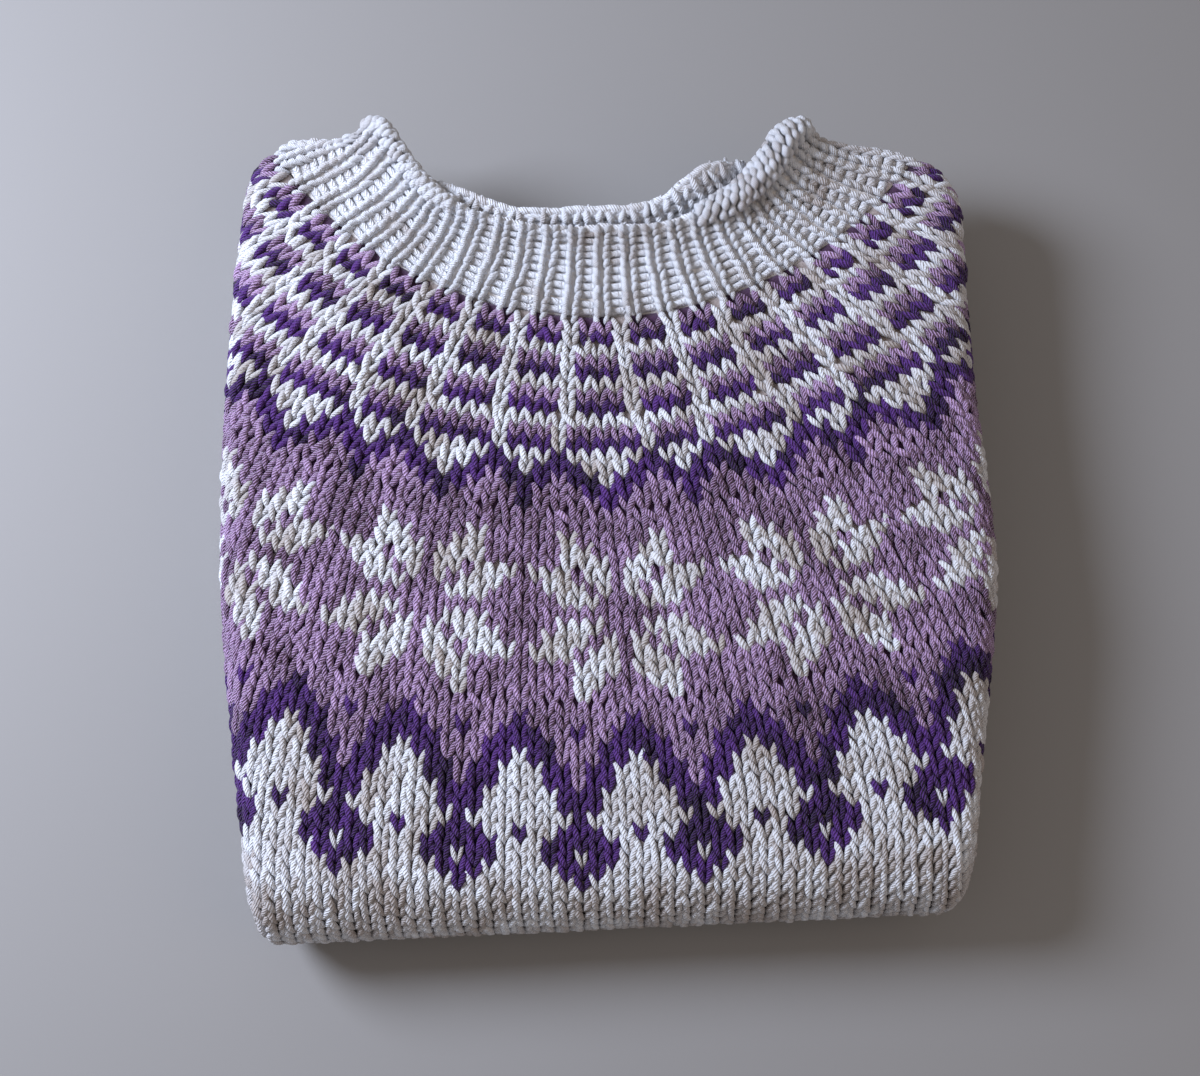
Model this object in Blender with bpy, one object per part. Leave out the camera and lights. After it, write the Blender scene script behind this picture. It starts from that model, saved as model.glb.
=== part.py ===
"""Nordic yoke sweater, hand-knitted in the round and folded to a neat bundle that lies yoke up.

The cloth is worked out flat, in the place it has on the bundle seen from above, and then laid over the bundle: it is
level on top, rolls over the sides and the shoulders, turns down round the near fold and runs on underneath. Lengths
below are millimetres, and make_mesh turns them to metres. +X is the wearer's left, +Y the neck end, +Z up.
"""

import math

import bmesh
import bpy
import numpy as np

MM = 0.001

# Driving sizes of the folded bundle
STACK = 44.0  # height of the whole fold
ARM = 18.5  # thickness of each half of the fold, above and below the sleeves
HALF_WIDTH = 132.0  # from the middle to each side fold
NECK_END = 148.0  # the shoulder line
NEAR_FOLD = -111.5  # where the cloth begins to turn down at the near end
HEM_END = 124.0  # where the folded-up hem ends underneath
HEM_BAND = 45.0  # depth of the hem's rib
CORNER = 14.0  # plan radius of the level top at the shoulder corners
CLOTH = 4.0  # stranded colourwork, and the plain body in the same yarn
BAND_CLOTH = 3.2  # the rib between its raised columns
RIB_RAISE = 1.2  # how far a knit column stands over the purl beside it
SEAM = 0.3  # the gap kept between pieces that touch
EASE = 0.7  # how far the hidden layers keep inside the cloth that covers them

ROLL = ARM / 2
FOLD = STACK / 2
HALF_CORE = HALF_WIDTH - ROLL - CORNER
CORE_END = NECK_END - ROLL - CORNER
UNDER_TUCK = 4.0  # how much narrower the folded-up body is, on each side
WRAP_END = math.radians(165)  # how far the cloth rolls round a side
ROLL_STEPS = 6  # facets of the solids round that roll
GROOVE_FADE = 6.0  # length over which the groove for each sleeve opens, from the near fold
PLAN_SHIFT = np.array([-2.0, -6.3])  # brings the bundle's box over the origin

# The yoke: 16 repeats round the garment, 8 of them on the front
REPEATS = 16
YOKE_END_ROW = 48.5
RIBS_PER_REPEAT = 3
NECK_RADIUS_SPREAD = 14.0  # degrees of arc that one repeat takes at the neck

# How the rows of the yoke lie, seen from above. A repeat's width grows row by row as the yoke fans out.
FAN_COLUMNS = ("row", "x", "y", "repeat_width", "tilt_degrees", "spread_degrees")
FAN = (
    (0.0, -1.4, 78.4, 34.0, 0.0, NECK_RADIUS_SPREAD),
    (2.0, -1.4, 70.2, 37.0, 0.2, 14.0),
    (14.0, 2.5, 17.6, 56.5, 1.5, 12.6),
    (25.5, 7.4, -29.1, 67.5, 2.0, 13.2),
    (44.0, 13.7, -103.1, 80.0, 4.0, 12.5),
    (53.0, 15.0, -140.0, 81.0, 3.5, 9.0),
)

# The bundle's sides, from above: how wide it is and how far its middle line wanders
OUTLINE_COLUMNS = ("y", "width_share", "middle")
OUTLINE = (
    (-140.0, 0.900, 3.7),
    (-118.0, 0.908, 3.7),
    (-75.0, 0.955, 3.4),
    (-24.0, 1.008, 3.2),
    (68.0, 1.004, 0.0),
    (127.0, 0.992, 1.0),
    (150.0, 0.980, 1.5),
)
LEAN_AT_MIDDLE, LEAN_PER_MM = 0.0104, -0.000266  # the near fold and the shoulder line aren't quite parallel

# Soft swells and hollows of the wool, from the layers beneath
SWELL_COLUMNS = ("x", "y", "reach_x", "reach_y", "height")
SWELLS = (
    (-78.0, -68.0, 42.0, 58.0, 1.8),
    (72.0, -60.0, 48.0, 60.0, 2.0),
    (4.0, -62.0, 22.0, 66.0, -1.8),
    (-86.0, 72.0, 38.0, 34.0, 1.8),
    (88.0, 76.0, 34.0, 34.0, 2.0),
    (0.0, 42.0, 60.0, 26.0, -1.5),
)

# The bound-off edge of the neckband, once round from the middle of the left shoulder
CREST_COLUMNS = ("repeat", "x", "y", "z")
CREST = (
    (-4.0, -85.0, 150.5, 49.0),
    (-3.5, -79.0, 145.5, 54.0),
    (-3.0, -70.0, 132.0, 52.5),
    (-2.0, -53.0, 117.5, 51.0),
    (-1.0, -27.5, 109.5, 50.0),
    (0.0, -1.0, 108.0, 50.0),
    (1.0, 25.0, 110.0, 50.5),
    (2.0, 47.5, 118.5, 52.5),
    (3.0, 61.5, 132.0, 55.0),
    (3.5, 67.5, 141.0, 56.0),
    (4.0, 74.0, 148.0, 51.0),
    (4.5, 68.0, 143.5, 43.5),
    (5.0, 57.0, 137.5, 43.0),
    (6.0, 38.5, 133.0, 51.0),
    (7.0, 19.0, 122.0, 44.0),
    (8.0, -5.0, 120.0, 43.0),
    (9.0, -29.0, 119.5, 43.0),
    (10.0, -50.0, 126.0, 45.5),
    (11.0, -66.0, 135.0, 41.0),
    (11.5, -78.5, 145.0, 42.0),
)
BACK_BAND_FROM, BACK_BAND_TO = 5.0, 11.0  # repeats where the band lies on the back yoke
BACK_BAND_DEGREES = 16.8  # arc that one repeat takes there

COLOURS = {
    "white wool": (0.84, 0.84, 0.87),
    "lilac wool": (0.33, 0.20, 0.38),
    "hidden wool": (0.70, 0.68, 0.70),
}


# ---- The shape of the bundle


def table_value(at, rows, column):
    """A smooth curve through one column of a table whose first column is the place."""
    places = np.array([row[0] for row in rows])
    values = np.array([row[column] for row in rows])
    slopes = np.gradient(values, places)
    at = np.clip(at, places[0], places[-1])
    left = np.clip(np.searchsorted(places, at, side="right") - 1, 0, len(places) - 2)
    span = places[left + 1] - places[left]
    t = (at - places[left]) / span
    return (
        values[left] * (1 + 2 * t) * (1 - t) ** 2
        + slopes[left] * span * t * (1 - t) ** 2
        + values[left + 1] * t**2 * (3 - 2 * t)
        + slopes[left + 1] * span * t**2 * (t - 1)
    )


def lean(y):
    return LEAN_AT_MIDDLE + LEAN_PER_MM * y


def lay(x, y, depth=0.0):
    """Where flat cloth at x, y lies on a straight-sided bundle, this deep under its outer face."""
    beneath = np.clip((NEAR_FOLD - y) / (math.pi * FOLD), 0, 1)
    half = HALF_CORE - UNDER_TUCK * beneath
    level_x = np.clip(x, -half, half)
    level_y = np.minimum(y, CORE_END)
    off_x, off_y = x - level_x, y - level_y
    off = np.hypot(off_x, off_y)
    turn = np.clip((off - CORNER) / ROLL, 0, math.pi)
    reach = np.minimum(off, CORNER) + (ROLL - depth) * np.sin(turn)
    reach = reach - np.maximum(off - CORNER - math.pi * ROLL, 0)
    drop = depth + (ROLL - depth) * (1 - np.cos(turn))
    scale = reach / np.maximum(off, 1e-9)
    along = level_y + off_y * scale
    bend = np.clip((NEAR_FOLD - along) / FOLD, 0, math.pi)
    past = np.maximum(NEAR_FOLD - math.pi * FOLD - along, 0)
    return (
        level_x + off_x * scale,
        np.maximum(along, NEAR_FOLD) - (FOLD - drop) * np.sin(bend) + past,
        FOLD + (FOLD - drop) * np.cos(bend),
    )


def settle(x, y, z):
    """Gives the straight-sided bundle its uneven sides, its lean and its swells."""
    x = table_value(y, OUTLINE, 2) + x * table_value(y, OUTLINE, 1)
    y = y + x * lean(y)
    rise = sum(
        row[4] * np.exp(-(((x - row[0]) / row[2]) ** 2) - ((y - row[1]) / row[3]) ** 2)
        for row in SWELLS
    )
    return np.stack([x + PLAN_SHIFT[0], y + PLAN_SHIFT[1], z * (1 + rise / STACK)], -1)


def unsettle(x, y):
    """The flat place of a point of the top, seen from above."""
    y = (y - LEAN_AT_MIDDLE * x) / (1 + LEAN_PER_MM * x)
    return (x - table_value(y, OUTLINE, 2)) / table_value(y, OUTLINE, 1), y


def fan_plan(repeat, row):
    """Where a place on the yoke lies, seen from above, before it rolls over any edge."""
    x, y, width, tilt, spread = (table_value(row, FAN, column) for column in range(1, 6))
    tilt, spread = np.radians(tilt), np.radians(spread)
    radius = width / spread
    angle = tilt + spread * repeat
    return (
        x + radius * (np.sin(angle) - np.sin(tilt)),
        y + radius * (np.cos(tilt) - np.cos(angle)),
    )


def fan_flat(repeat, row):
    return unsettle(*fan_plan(repeat, row))


def yoke_point(repeat, row, depth=0.0):
    return settle(*lay(*fan_flat(repeat, row), depth))


def repeats_at_edge(row, side):
    """Where a row of the yoke meets the edge of the level top, and each step of its roll from there."""
    repeats = side * np.linspace(0, 6, 601)
    x, y = fan_flat(repeats, np.full(601, row))
    off = np.hypot(np.maximum(np.abs(x) - HALF_CORE, 0), np.maximum(y - CORE_END, 0))
    end = WRAP_END - math.radians(50) * max(1 - row / 8, 0)  # the shoulder opens into the neck
    steps = CORNER + ROLL * np.linspace(0, end, ROLL_STEPS + 1)
    return np.interp(steps, np.maximum.accumulate(off), repeats)


# ---- Blender objects


def wool(name, colour_name):
    material = bpy.data.materials.new(name)
    material.use_nodes = True
    shader = material.node_tree.nodes["Principled BSDF"]
    shader.inputs["Base Color"].default_value = (*COLOURS[colour_name], 1)
    shader.inputs["Roughness"].default_value = 0.9
    shader.inputs["Metallic"].default_value = 0.0
    return material


def make_object(name, points, faces, colour_name):
    mesh = bpy.data.meshes.new(name)
    mesh.from_pydata((np.asarray(points) * MM).tolist(), [], faces)
    work = bmesh.new()
    work.from_mesh(mesh)
    bmesh.ops.recalc_face_normals(work, faces=work.faces)
    work.to_mesh(mesh)
    work.free()
    mesh.shade_smooth()
    mesh.materials.append(wool(name, colour_name))
    obj = bpy.data.objects.new(name, mesh)
    sweater.objects.link(obj)
    return obj


def grid_faces(rows, columns, ring, first=0):
    """Quads over a grid of points, joined back to its first column when it is a ring."""
    across = columns if ring else columns - 1
    return [
        (
            first + r * columns + c,
            first + r * columns + (c + 1) % columns,
            first + (r + 1) * columns + (c + 1) % columns,
            first + (r + 1) * columns + c,
        )
        for r in range(rows - 1)
        for c in range(across)
    ]


def wall(name, outer, inner, colour_name, ring=False):
    """Closed cloth between two grids of points. A ring's grids may have unlike numbers of rows."""
    rows, columns = outer.shape[:2]
    inner_rows = inner.shape[0]
    start = rows * columns
    faces = grid_faces(rows, columns, ring) + grid_faces(inner_rows, columns, ring, start)
    for edge, inner_edge in ((0, 0), (rows - 1, inner_rows - 1)):
        for c in range(columns if ring else columns - 1):
            nxt = (c + 1) % columns
            faces.append(
                (
                    edge * columns + c,
                    edge * columns + nxt,
                    start + inner_edge * columns + nxt,
                    start + inner_edge * columns + c,
                )
            )
    if not ring:
        for c in (0, columns - 1):
            for r in range(rows - 1):
                faces.append(
                    (
                        r * columns + c,
                        (r + 1) * columns + c,
                        start + (r + 1) * columns + c,
                        start + r * columns + c,
                    )
                )
    points = np.concatenate([outer.reshape(-1, 3), inner.reshape(-1, 3)])
    return make_object(name, points, faces, colour_name)


def loft(name, sections, colour_name):
    """A solid through closed sections of the same number of points, with its two ends filled."""
    count, around = sections.shape[:2]
    faces = grid_faces(count, around, ring=True)
    faces.append(tuple(range(around)))
    faces.append(tuple(range((count - 1) * around, count * around)))
    return make_object(name, sections.reshape(-1, 3), faces, colour_name)


# ---- The pieces


def neck_rib():
    """The neckband: an open tube of 48 raised ribs that lies on the front and stands up behind."""
    per_rib = 3
    columns = REPEATS * RIBS_PER_REPEAT * per_rib
    repeat = -4 + REPEATS * np.arange(columns) / columns
    crest = closed_curve(repeat, [row[0] for row in CREST], [row[1:4] for row in CREST])
    crest[:, :2] += PLAN_SHIFT
    foot, leave = band_foot(repeat)
    rise = crest - foot
    length = np.linalg.norm(rise, axis=1, keepdims=True)
    on_front = np.clip((4.6 - np.abs(repeat)) / 0.8, 0, 1)[:, None]
    stand = np.array([0, 0.35, 0.9]) * (1 - on_front) + np.array([0, 0.5, 0.55]) * on_front
    arrive = 0.35 * rise + 0.6 * length * stand

    def band(v):
        v = np.asarray(v)[:, None, None]
        return (
            foot * (1 + 2 * v) * (1 - v) ** 2
            + leave * length * v * (1 - v) ** 2
            + crest * v**2 * (3 - 2 * v)
            + arrive * v**2 * (v - 1)
        )

    raised = np.where(np.arange(columns) % per_rib == 0, -0.2, RIB_RAISE)[None, :, None]
    fine = np.linspace(0, 1, 41)
    middle = band(fine)
    normal = ring_normals(middle)
    outer_at = [0, 6, 13, 20, 27, 34, 38, 40]
    inner_at = [0, 13, 27, 40]
    swell = np.array([0.3, 0.9, 1, 1, 1, 1, 1.15, 0.9])[:, None, None]
    outer = middle[outer_at] + normal[outer_at] * raised * swell
    inner = middle[inner_at] - normal[inner_at] * BAND_CLOTH
    wall("neck_rib", outer, inner, "white wool", ring=True)


def closed_curve(at, places, points):
    """A smooth closed curve through points at given repeats, once round the garment."""
    places = np.array(places, float)
    points = np.array(points, float)
    places = np.concatenate([places[-3:] - REPEATS, places, places[:3] + REPEATS])
    points = np.concatenate([points[-3:], points, points[:3]])
    rows = np.column_stack([places, points])
    return np.stack([table_value(at, rows, column) for column in (1, 2, 3)], -1)


def band_foot(repeat):
    """The band's lower edge and the direction it leaves in: on the yoke's first row, then on the back."""
    places, feet, directions = [], [], []
    for at in np.arange(-4.5, 4.6, 0.5):
        here, further = yoke_point(np.array([at]), np.array([0.0]))[0], None
        further = yoke_point(np.array([at]), np.array([1.0]))[0]
        away = (here - further) / np.linalg.norm(here - further)
        places.append(at)
        feet.append(here + away * SEAM)
        directions.append(away)
    radius, centre = neck_circle()
    for at in np.arange(BACK_BAND_FROM, BACK_BAND_TO + 0.1, 0.5):
        angle = math.radians(BACK_BAND_DEGREES * (8 - at))
        inward = np.array([-math.sin(angle), math.cos(angle), 0])
        foot = centre - inward * (radius - 2)
        places.append(at)
        feet.append(np.array([foot[0], foot[1], STACK - ARM + SEAM + RIB_RAISE]))
        directions.append(inward)
    return closed_curve(repeat, places, feet), closed_curve(repeat, places, directions)


def neck_circle():
    """Radius and centre, seen from above, of the yoke's first row."""
    radius = FAN[0][3] / math.radians(NECK_RADIUS_SPREAD)
    return radius, np.array([FAN[0][1] + PLAN_SHIFT[0], FAN[0][2] + radius + PLAN_SHIFT[1], 0.0])


def ring_normals(grid):
    """Unit normals of a grid that closes on itself along its columns, pointing away from the neck opening."""
    around = np.roll(grid, -1, axis=1) - np.roll(grid, 1, axis=1)
    up = np.gradient(grid, axis=0)
    normal = np.cross(around, up)
    for _ in range(2):
        normal = normal + np.roll(normal, 1, axis=1) + np.roll(normal, -1, axis=1)
    return normal / np.linalg.norm(normal, axis=-1, keepdims=True)


def yoke():
    """The colourwork yoke: from the neckband out over the sides and shoulders, and down to the body."""
    down = np.linspace(0, 1, 20)
    row = (down - 0.07 * np.sin(2 * math.pi * down)) * YOKE_END_ROW  # closest where the cloth bends
    repeat = []
    for r in row:
        left, right = repeats_at_edge(r, -1), repeats_at_edge(r, 1)
        level = np.linspace(left[0], right[0], 19)
        repeat.append(np.concatenate([left[:0:-1], level, right[1:]]))
    repeat = np.array(repeat)
    row = np.repeat(row[:, None], repeat.shape[1], 1)
    wall("yoke", yoke_point(repeat, row), yoke_point(repeat, row, CLOTH), "lilac wool")


def body():
    """The plain body: from the yoke down round the near fold and along underneath to the hem's rib."""
    down = np.concatenate([np.linspace(0, 0.255, 10), np.linspace(0.255, 1, 9)[1:]])
    outer, inner = body_cloth(yoke_lower_edge, hem_start(), down, level_columns=15)
    wall("body", outer, inner, "white wool")


def hem_rib():
    """The hem's rib, underneath at the neck end. Its ribs are flat where the sweater rests."""
    columns = 67
    groove = np.where(np.arange(columns + 2 * ROLL_STEPS) % 3 == 0, RIB_RAISE, 0.0)[None, :]
    start = hem_start() - SEAM
    down = np.linspace(0, 1, 4)
    outer, inner = body_cloth(lambda x: start + 0 * x, start - HEM_BAND, down, columns, groove)
    wall("hem_rib", outer, inner, "white wool")


def hem_start():
    """Flat place where the rib begins, on past the near fold."""
    return NEAR_FOLD - math.pi * FOLD - (HEM_END - HEM_BAND - NEAR_FOLD)


def yoke_lower_edge(x):
    """Flat place of the yoke's last row at each flat x."""
    repeats = np.linspace(-3.5, 3.5, 141)
    edge_x, edge_y = fan_flat(repeats, np.full(141, YOKE_END_ROW))
    return np.interp(x, edge_x, edge_y) - SEAM


def body_cloth(first_edge, last, down, level_columns, groove=0.0):
    level = np.linspace(-1, 1, level_columns) * (HALF_CORE + CORNER)
    roll = HALF_CORE + CORNER + ROLL * np.linspace(0, WRAP_END, ROLL_STEPS + 1)[1:]
    across = np.concatenate([-roll[::-1], level, roll])
    start = first_edge(across)[None, :]
    y = start + (last - start) * down[:, None]
    beneath = np.clip((NEAR_FOLD - y) / (math.pi * FOLD), 0, 1)
    x = across - np.sign(across) * UNDER_TUCK * beneath * (np.abs(across) > 0.9 * HALF_CORE)
    outer = settle(*lay(x, y, np.zeros_like(x) + groove))
    return outer, settle(*lay(x, y, CLOTH))


def sleeve(name, side):
    """A sleeve folded flat behind the yoke: its fold shows along the side and round the shoulder."""
    recess, depth, height = 5.5, 16.0, STACK - 2 * ARM - 2 * SEAM
    corner = CORNER + ROLL - recess
    near, end = NEAR_FOLD + 8, 80.0
    taper = (0.4, 0.75, 0.95)
    plan = [(HALF_CORE, near + step, 0.0) for step in (0, 1.5, 4.5)]
    plan += [(HALF_CORE, y, 0.0) for y in np.linspace(near + 12, CORE_END, 8)]
    plan += [(HALF_CORE, CORE_END, math.radians(a)) for a in (18, 36, 54, 72, 90)]
    plan += [(end + step, CORE_END, math.pi / 2) for step in (14, 4.5, 1.5, 0)]
    around = np.radians(np.arange(-90, 91, 30))
    sections = []
    for place, (x, y, turn) in enumerate(plan):
        size = (*taper, 1.0)[min(place, len(plan) - 1 - place, len(taper))]
        shape = [(height / 2 * size * (math.cos(a) - 1), height / 2 * size * math.sin(a)) for a in around]
        shape += [(-depth * size, height / 2 * size), (-depth * size, -height / 2 * size)]
        shift = -5.0 * (1 - size)
        sections.append(
            [
                settle(
                    side * (x + (corner + out + shift) * math.cos(turn)),
                    y + (corner + out + shift) * math.sin(turn),
                    FOLD + up,
                )
                for out, up in shape
            ]
        )
    loft(name, np.array(sections), "white wool")


def folded_layers():
    """Back yoke, folded-in sides, back body and cuffs: one rounded solid inside the cloth, layered at its edges."""
    near = [NEAR_FOLD - (FOLD - CLOTH - EASE) * math.sin(math.radians(a)) for a in (78, 56, 36, 18)]
    places = (*near, NEAR_FOLD, *np.linspace(NEAR_FOLD + GROOVE_FADE, CORE_END, 13))
    core = loft("folded_layers", np.array([layer_section(y) for y in places]), "hidden wool")
    cut_neck(core)
    cut_hem_end(core)


def layer_section(y):
    """The hidden layers cut across: a roll above and one below, with a groove for a sleeve between them."""
    skin = CLOTH + EASE
    roll, bend = ROLL - skin, FOLD - skin
    nose = max(NEAR_FOLD - y, 0)
    fade = min(max((y - NEAR_FOLD) / GROOVE_FADE, 0), 1)
    edge = HALF_CORE + CORNER
    half_gap = FOLD - ARM + SEAM
    half = [(share * edge, bend) for share in (0, 0.25, 0.5, 0.75, 0.9)]
    for angle in np.radians((0, 45, 90, 135, 180)):
        reach = edge - 3 if nose else edge + roll * math.sin(angle)
        half.append((reach, bend - roll * (1 - math.cos(angle))))
    groove = edge - 2 - 3 * fade
    half += [(groove, bend - 2 * roll), (groove, half_gap), (groove - 8 * fade, half_gap)]
    squash = math.sqrt(bend**2 - nose**2) / bend
    upper = [(x, up * squash) for x, up in half]
    lower = [(x - UNDER_TUCK * (x > 0.8 * edge), -up) for x, up in reversed(upper)]
    right = upper + lower
    outline = np.array(right + [(-x, up) for x, up in reversed(right[1:-1])])
    return settle(outline[:, 0], np.full(len(outline), y), FOLD + outline[:, 1])


def cut_neck(core):
    """Cuts the hidden layers back to the yoke's first row, so that the neckband is open inside."""
    radius, centre = neck_circle()
    depth, low = 40.0, STACK - ARM - SEAM
    place = (centre[0] * MM, centre[1] * MM, (low + depth / 2) * MM)
    bpy.ops.mesh.primitive_cylinder_add(
        vertices=96, radius=(radius + CLOTH + SEAM) * MM, depth=depth * MM, location=place
    )
    subtract(core, "neck_cutter")


def cut_hem_end(core):
    """Ends the lower layers just inside the hem, and leaves a groove between one layer's edge and the next."""
    end = HEM_END - 4 + PLAN_SHIFT[1]
    for name, back, low, high in (
        ("hem_cutter", 0.0, -10.0, STACK - ARM + SEAM),
        ("layer_cutter_1", -4.0, 8.4, 9.2),
        ("layer_cutter_2", -4.0, 12.8, 13.6),
        ("layer_cutter_3", -4.0, 17.4, 18.2),
    ):
        size = (2 * NECK_END * MM, 60 * MM, (high - low) * MM)
        place = (0, (end + back + 30) * MM, (low + high) / 2 * MM)
        bpy.ops.mesh.primitive_cube_add(size=1, location=place, scale=size)
        subtract(core, name)


def subtract(core, name):
    """Takes the shape just added out of the hidden layers, and hides it."""
    cutter = bpy.context.object
    cutter.name = name
    for collection in cutter.users_collection:
        collection.objects.unlink(cutter)
    cutters.objects.link(cutter)
    cutter.hide_render = True
    cutter.display_type = "WIRE"
    cut = core.modifiers.new(name, "BOOLEAN")
    cut.operation = "DIFFERENCE"
    cut.object = cutter


def new_collection(name):
    collection = bpy.data.collections.new(name)
    bpy.context.scene.collection.children.link(collection)
    return collection


for old in list(bpy.data.objects):
    bpy.data.objects.remove(old)

sweater = new_collection("Nordic yoke sweater")
cutters = new_collection("Cutters")

neck_rib()
yoke()
body()
hem_rib()
sleeve("sleeve_left", 1)
sleeve("sleeve_right", -1)
folded_layers()
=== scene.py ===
"""Looks of the folded nordic yoke sweater.

Hand-knitted in the round in plied wool: a plain white body, a round yoke in white, lilac and dark purple,
and a ribbed neckband. Every visible stitch is two plump legs of yarn laid on the folded cloth, row by row
from a chart. Lengths in the tables are millimetres. +X is the wearer's left, +Y the neck end, +Z up.
"""

import math
from functools import partial

import bmesh
import bpy
import numpy as np
from mathutils import Matrix, Vector, noise


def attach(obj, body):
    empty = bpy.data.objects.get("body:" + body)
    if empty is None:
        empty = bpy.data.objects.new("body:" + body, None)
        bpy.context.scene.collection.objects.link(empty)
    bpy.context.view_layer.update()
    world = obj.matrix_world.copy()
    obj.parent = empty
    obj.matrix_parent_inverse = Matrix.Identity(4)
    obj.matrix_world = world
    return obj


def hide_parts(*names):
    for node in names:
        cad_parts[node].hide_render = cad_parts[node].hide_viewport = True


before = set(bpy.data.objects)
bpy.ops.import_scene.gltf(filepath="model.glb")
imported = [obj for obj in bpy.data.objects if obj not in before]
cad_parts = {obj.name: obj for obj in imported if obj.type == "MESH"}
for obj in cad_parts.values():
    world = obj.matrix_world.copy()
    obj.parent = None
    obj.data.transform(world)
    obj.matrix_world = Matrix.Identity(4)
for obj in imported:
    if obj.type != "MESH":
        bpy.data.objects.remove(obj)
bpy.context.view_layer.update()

# ---- The yoke ----
# Stranded colourwork from the neckband to the body: 16 repeats round, 8 of them on the front. It is knitted
# upwards, so each stitch's tip points to the hem. The cloth is worked out flat, then laid over the folded
# bundle: level on top, rolled over the sides and shoulders, and turned down round the near fold.

STACK = 44.0  # height of the whole fold
ARM = 18.5  # each half of the fold, above and below the sleeves
ROLL, FOLD = ARM / 2, STACK / 2  # radii of the side rolls and of the near fold
CORNER = 14.0  # radius of the level top's corners, seen from above
HALF_CORE = 132.0 - ROLL - CORNER  # half the width between two corners
CORE_END = 148.0 - ROLL - CORNER
NEAR_FOLD = -111.5  # where the cloth starts to turn down
UNDER_TUCK = 4.0  # how much further in the sides lie underneath
WRAP_END = math.radians(165)  # how far the cloth goes round a roll
NECK_CUT, NECK_ROWS = math.radians(50), 8  # how much less near the neckband, and over how many rows
PLAN_SHIFT = np.array([-2.0, -6.3])  # sets the bundle's middle over the origin
REPEATS = 16
YOKE_END_ROW = 46.5
NECK_SPREAD = 14.0  # degrees of arc in one repeat at the neck

# Row of the yoke: x, y, width of a repeat, tilt and spread in degrees
FAN = (
    (0.0, -1.4, 78.4, 34.0, 0.0, NECK_SPREAD),
    (2.0, -1.4, 70.2, 37.0, 0.2, 14.0),
    (14.0, 2.5, 17.6, 56.5, 1.5, 12.6),
    (24.0, 7.0, -25.3, 66.8, 1.9, 13.2),
    (31.0, 10.2, -57.6, 73.5, 2.6, 13.2),
    (42.0, 13.7, -103.1, 80.0, 4.0, 12.5),
    (51.0, 15.0, -140.0, 81.0, 3.5, 9.0),
)

# The outline from above: y, share of the full width, and place of the middle line
OUTLINE = (
    (-140.0, 0.900, 3.7),
    (-118.0, 0.908, 3.7),
    (-75.0, 0.955, 3.4),
    (-24.0, 1.008, 3.2),
    (68.0, 1.004, 0.0),
    (127.0, 0.992, 1.0),
    (150.0, 0.980, 1.5),
)
LEAN_AT_MIDDLE, LEAN_PER_MM = 0.0104, -0.000266  # how far the rows slope to one side

# Swells and hollows: x, y, reach in x and y, height
SWELLS = (
    (-78.0, -68.0, 42.0, 58.0, 1.8),
    (72.0, -60.0, 48.0, 60.0, 2.0),
    (4.0, -62.0, 22.0, 66.0, -1.8),
    (-86.0, 72.0, 38.0, 34.0, 1.8),
    (88.0, 76.0, 34.0, 34.0, 2.0),
    (0.0, 42.0, 60.0, 26.0, -1.5),
)
RIPPLE = 0.45  # height of the small ripples all over


def hermite(start, end, leaving, arriving, t):
    """A smooth way from start to end, with the slopes at both."""
    return (
        start * (1 + 2 * t) * (1 - t) ** 2
        + leaving * t * (1 - t) ** 2
        + end * t**2 * (3 - 2 * t)
        + arriving * t**2 * (t - 1)
    )


def table_value(at, rows, column):
    """A smooth curve through one column of a table whose first column is the place."""
    places = np.array([row[0] for row in rows])
    values = np.array([row[column] for row in rows])
    slopes = np.gradient(values, places)
    at = np.clip(at, places[0], places[-1])
    left = np.clip(np.searchsorted(places, at, side="right") - 1, 0, len(places) - 2)
    span = places[left + 1] - places[left]
    return hermite(
        values[left], values[left + 1], slopes[left] * span, slopes[left + 1] * span, (at - places[left]) / span
    )


def tuck(y):
    """How much the sides are drawn in at this place, growing round the near fold."""
    return UNDER_TUCK * np.clip((NEAR_FOLD - y) / (math.pi * FOLD), 0, 1)


def lay(x, y, depth=0.0):
    """Where flat cloth at x, y lies on a straight-sided bundle, this deep under its outer face."""
    half = HALF_CORE - tuck(y)
    level_x = np.clip(x, -half, half)
    level_y = np.minimum(y, CORE_END)
    off_x, off_y = x - level_x, y - level_y
    off = np.hypot(off_x, off_y)
    turn = np.clip((off - CORNER) / ROLL, 0, math.pi)
    reach = np.minimum(off, CORNER) + (ROLL - depth) * np.sin(turn)
    reach = reach - np.maximum(off - CORNER - math.pi * ROLL, 0)
    drop = depth + (ROLL - depth) * (1 - np.cos(turn))
    scale = reach / np.maximum(off, 1e-9)
    along = level_y + off_y * scale
    bend = np.clip((NEAR_FOLD - along) / FOLD, 0, math.pi)
    past = np.maximum(NEAR_FOLD - math.pi * FOLD - along, 0)
    return (
        level_x + off_x * scale,
        np.maximum(along, NEAR_FOLD) - (FOLD - drop) * np.sin(bend) + past,
        FOLD + (FOLD - drop) * np.cos(bend),
    )


def settle(x, y, z):
    """Gives the straight-sided bundle its uneven sides, its lean and its swells."""
    x = table_value(y, OUTLINE, 2) + x * table_value(y, OUTLINE, 1)
    y = y + x * (LEAN_AT_MIDDLE + LEAN_PER_MM * y)
    rise = sum(
        row[4] * np.exp(-(((x - row[0]) / row[2]) ** 2) - ((y - row[1]) / row[3]) ** 2)
        for row in SWELLS
    )
    rise = rise + RIPPLE * np.sin(x / 9.0 + 1.6 * np.sin(y / 31.0)) * np.cos(y / 23.0 + 0.5)
    return np.stack([x + PLAN_SHIFT[0], y + PLAN_SHIFT[1], z * (1 + rise / STACK)], -1)


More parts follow.
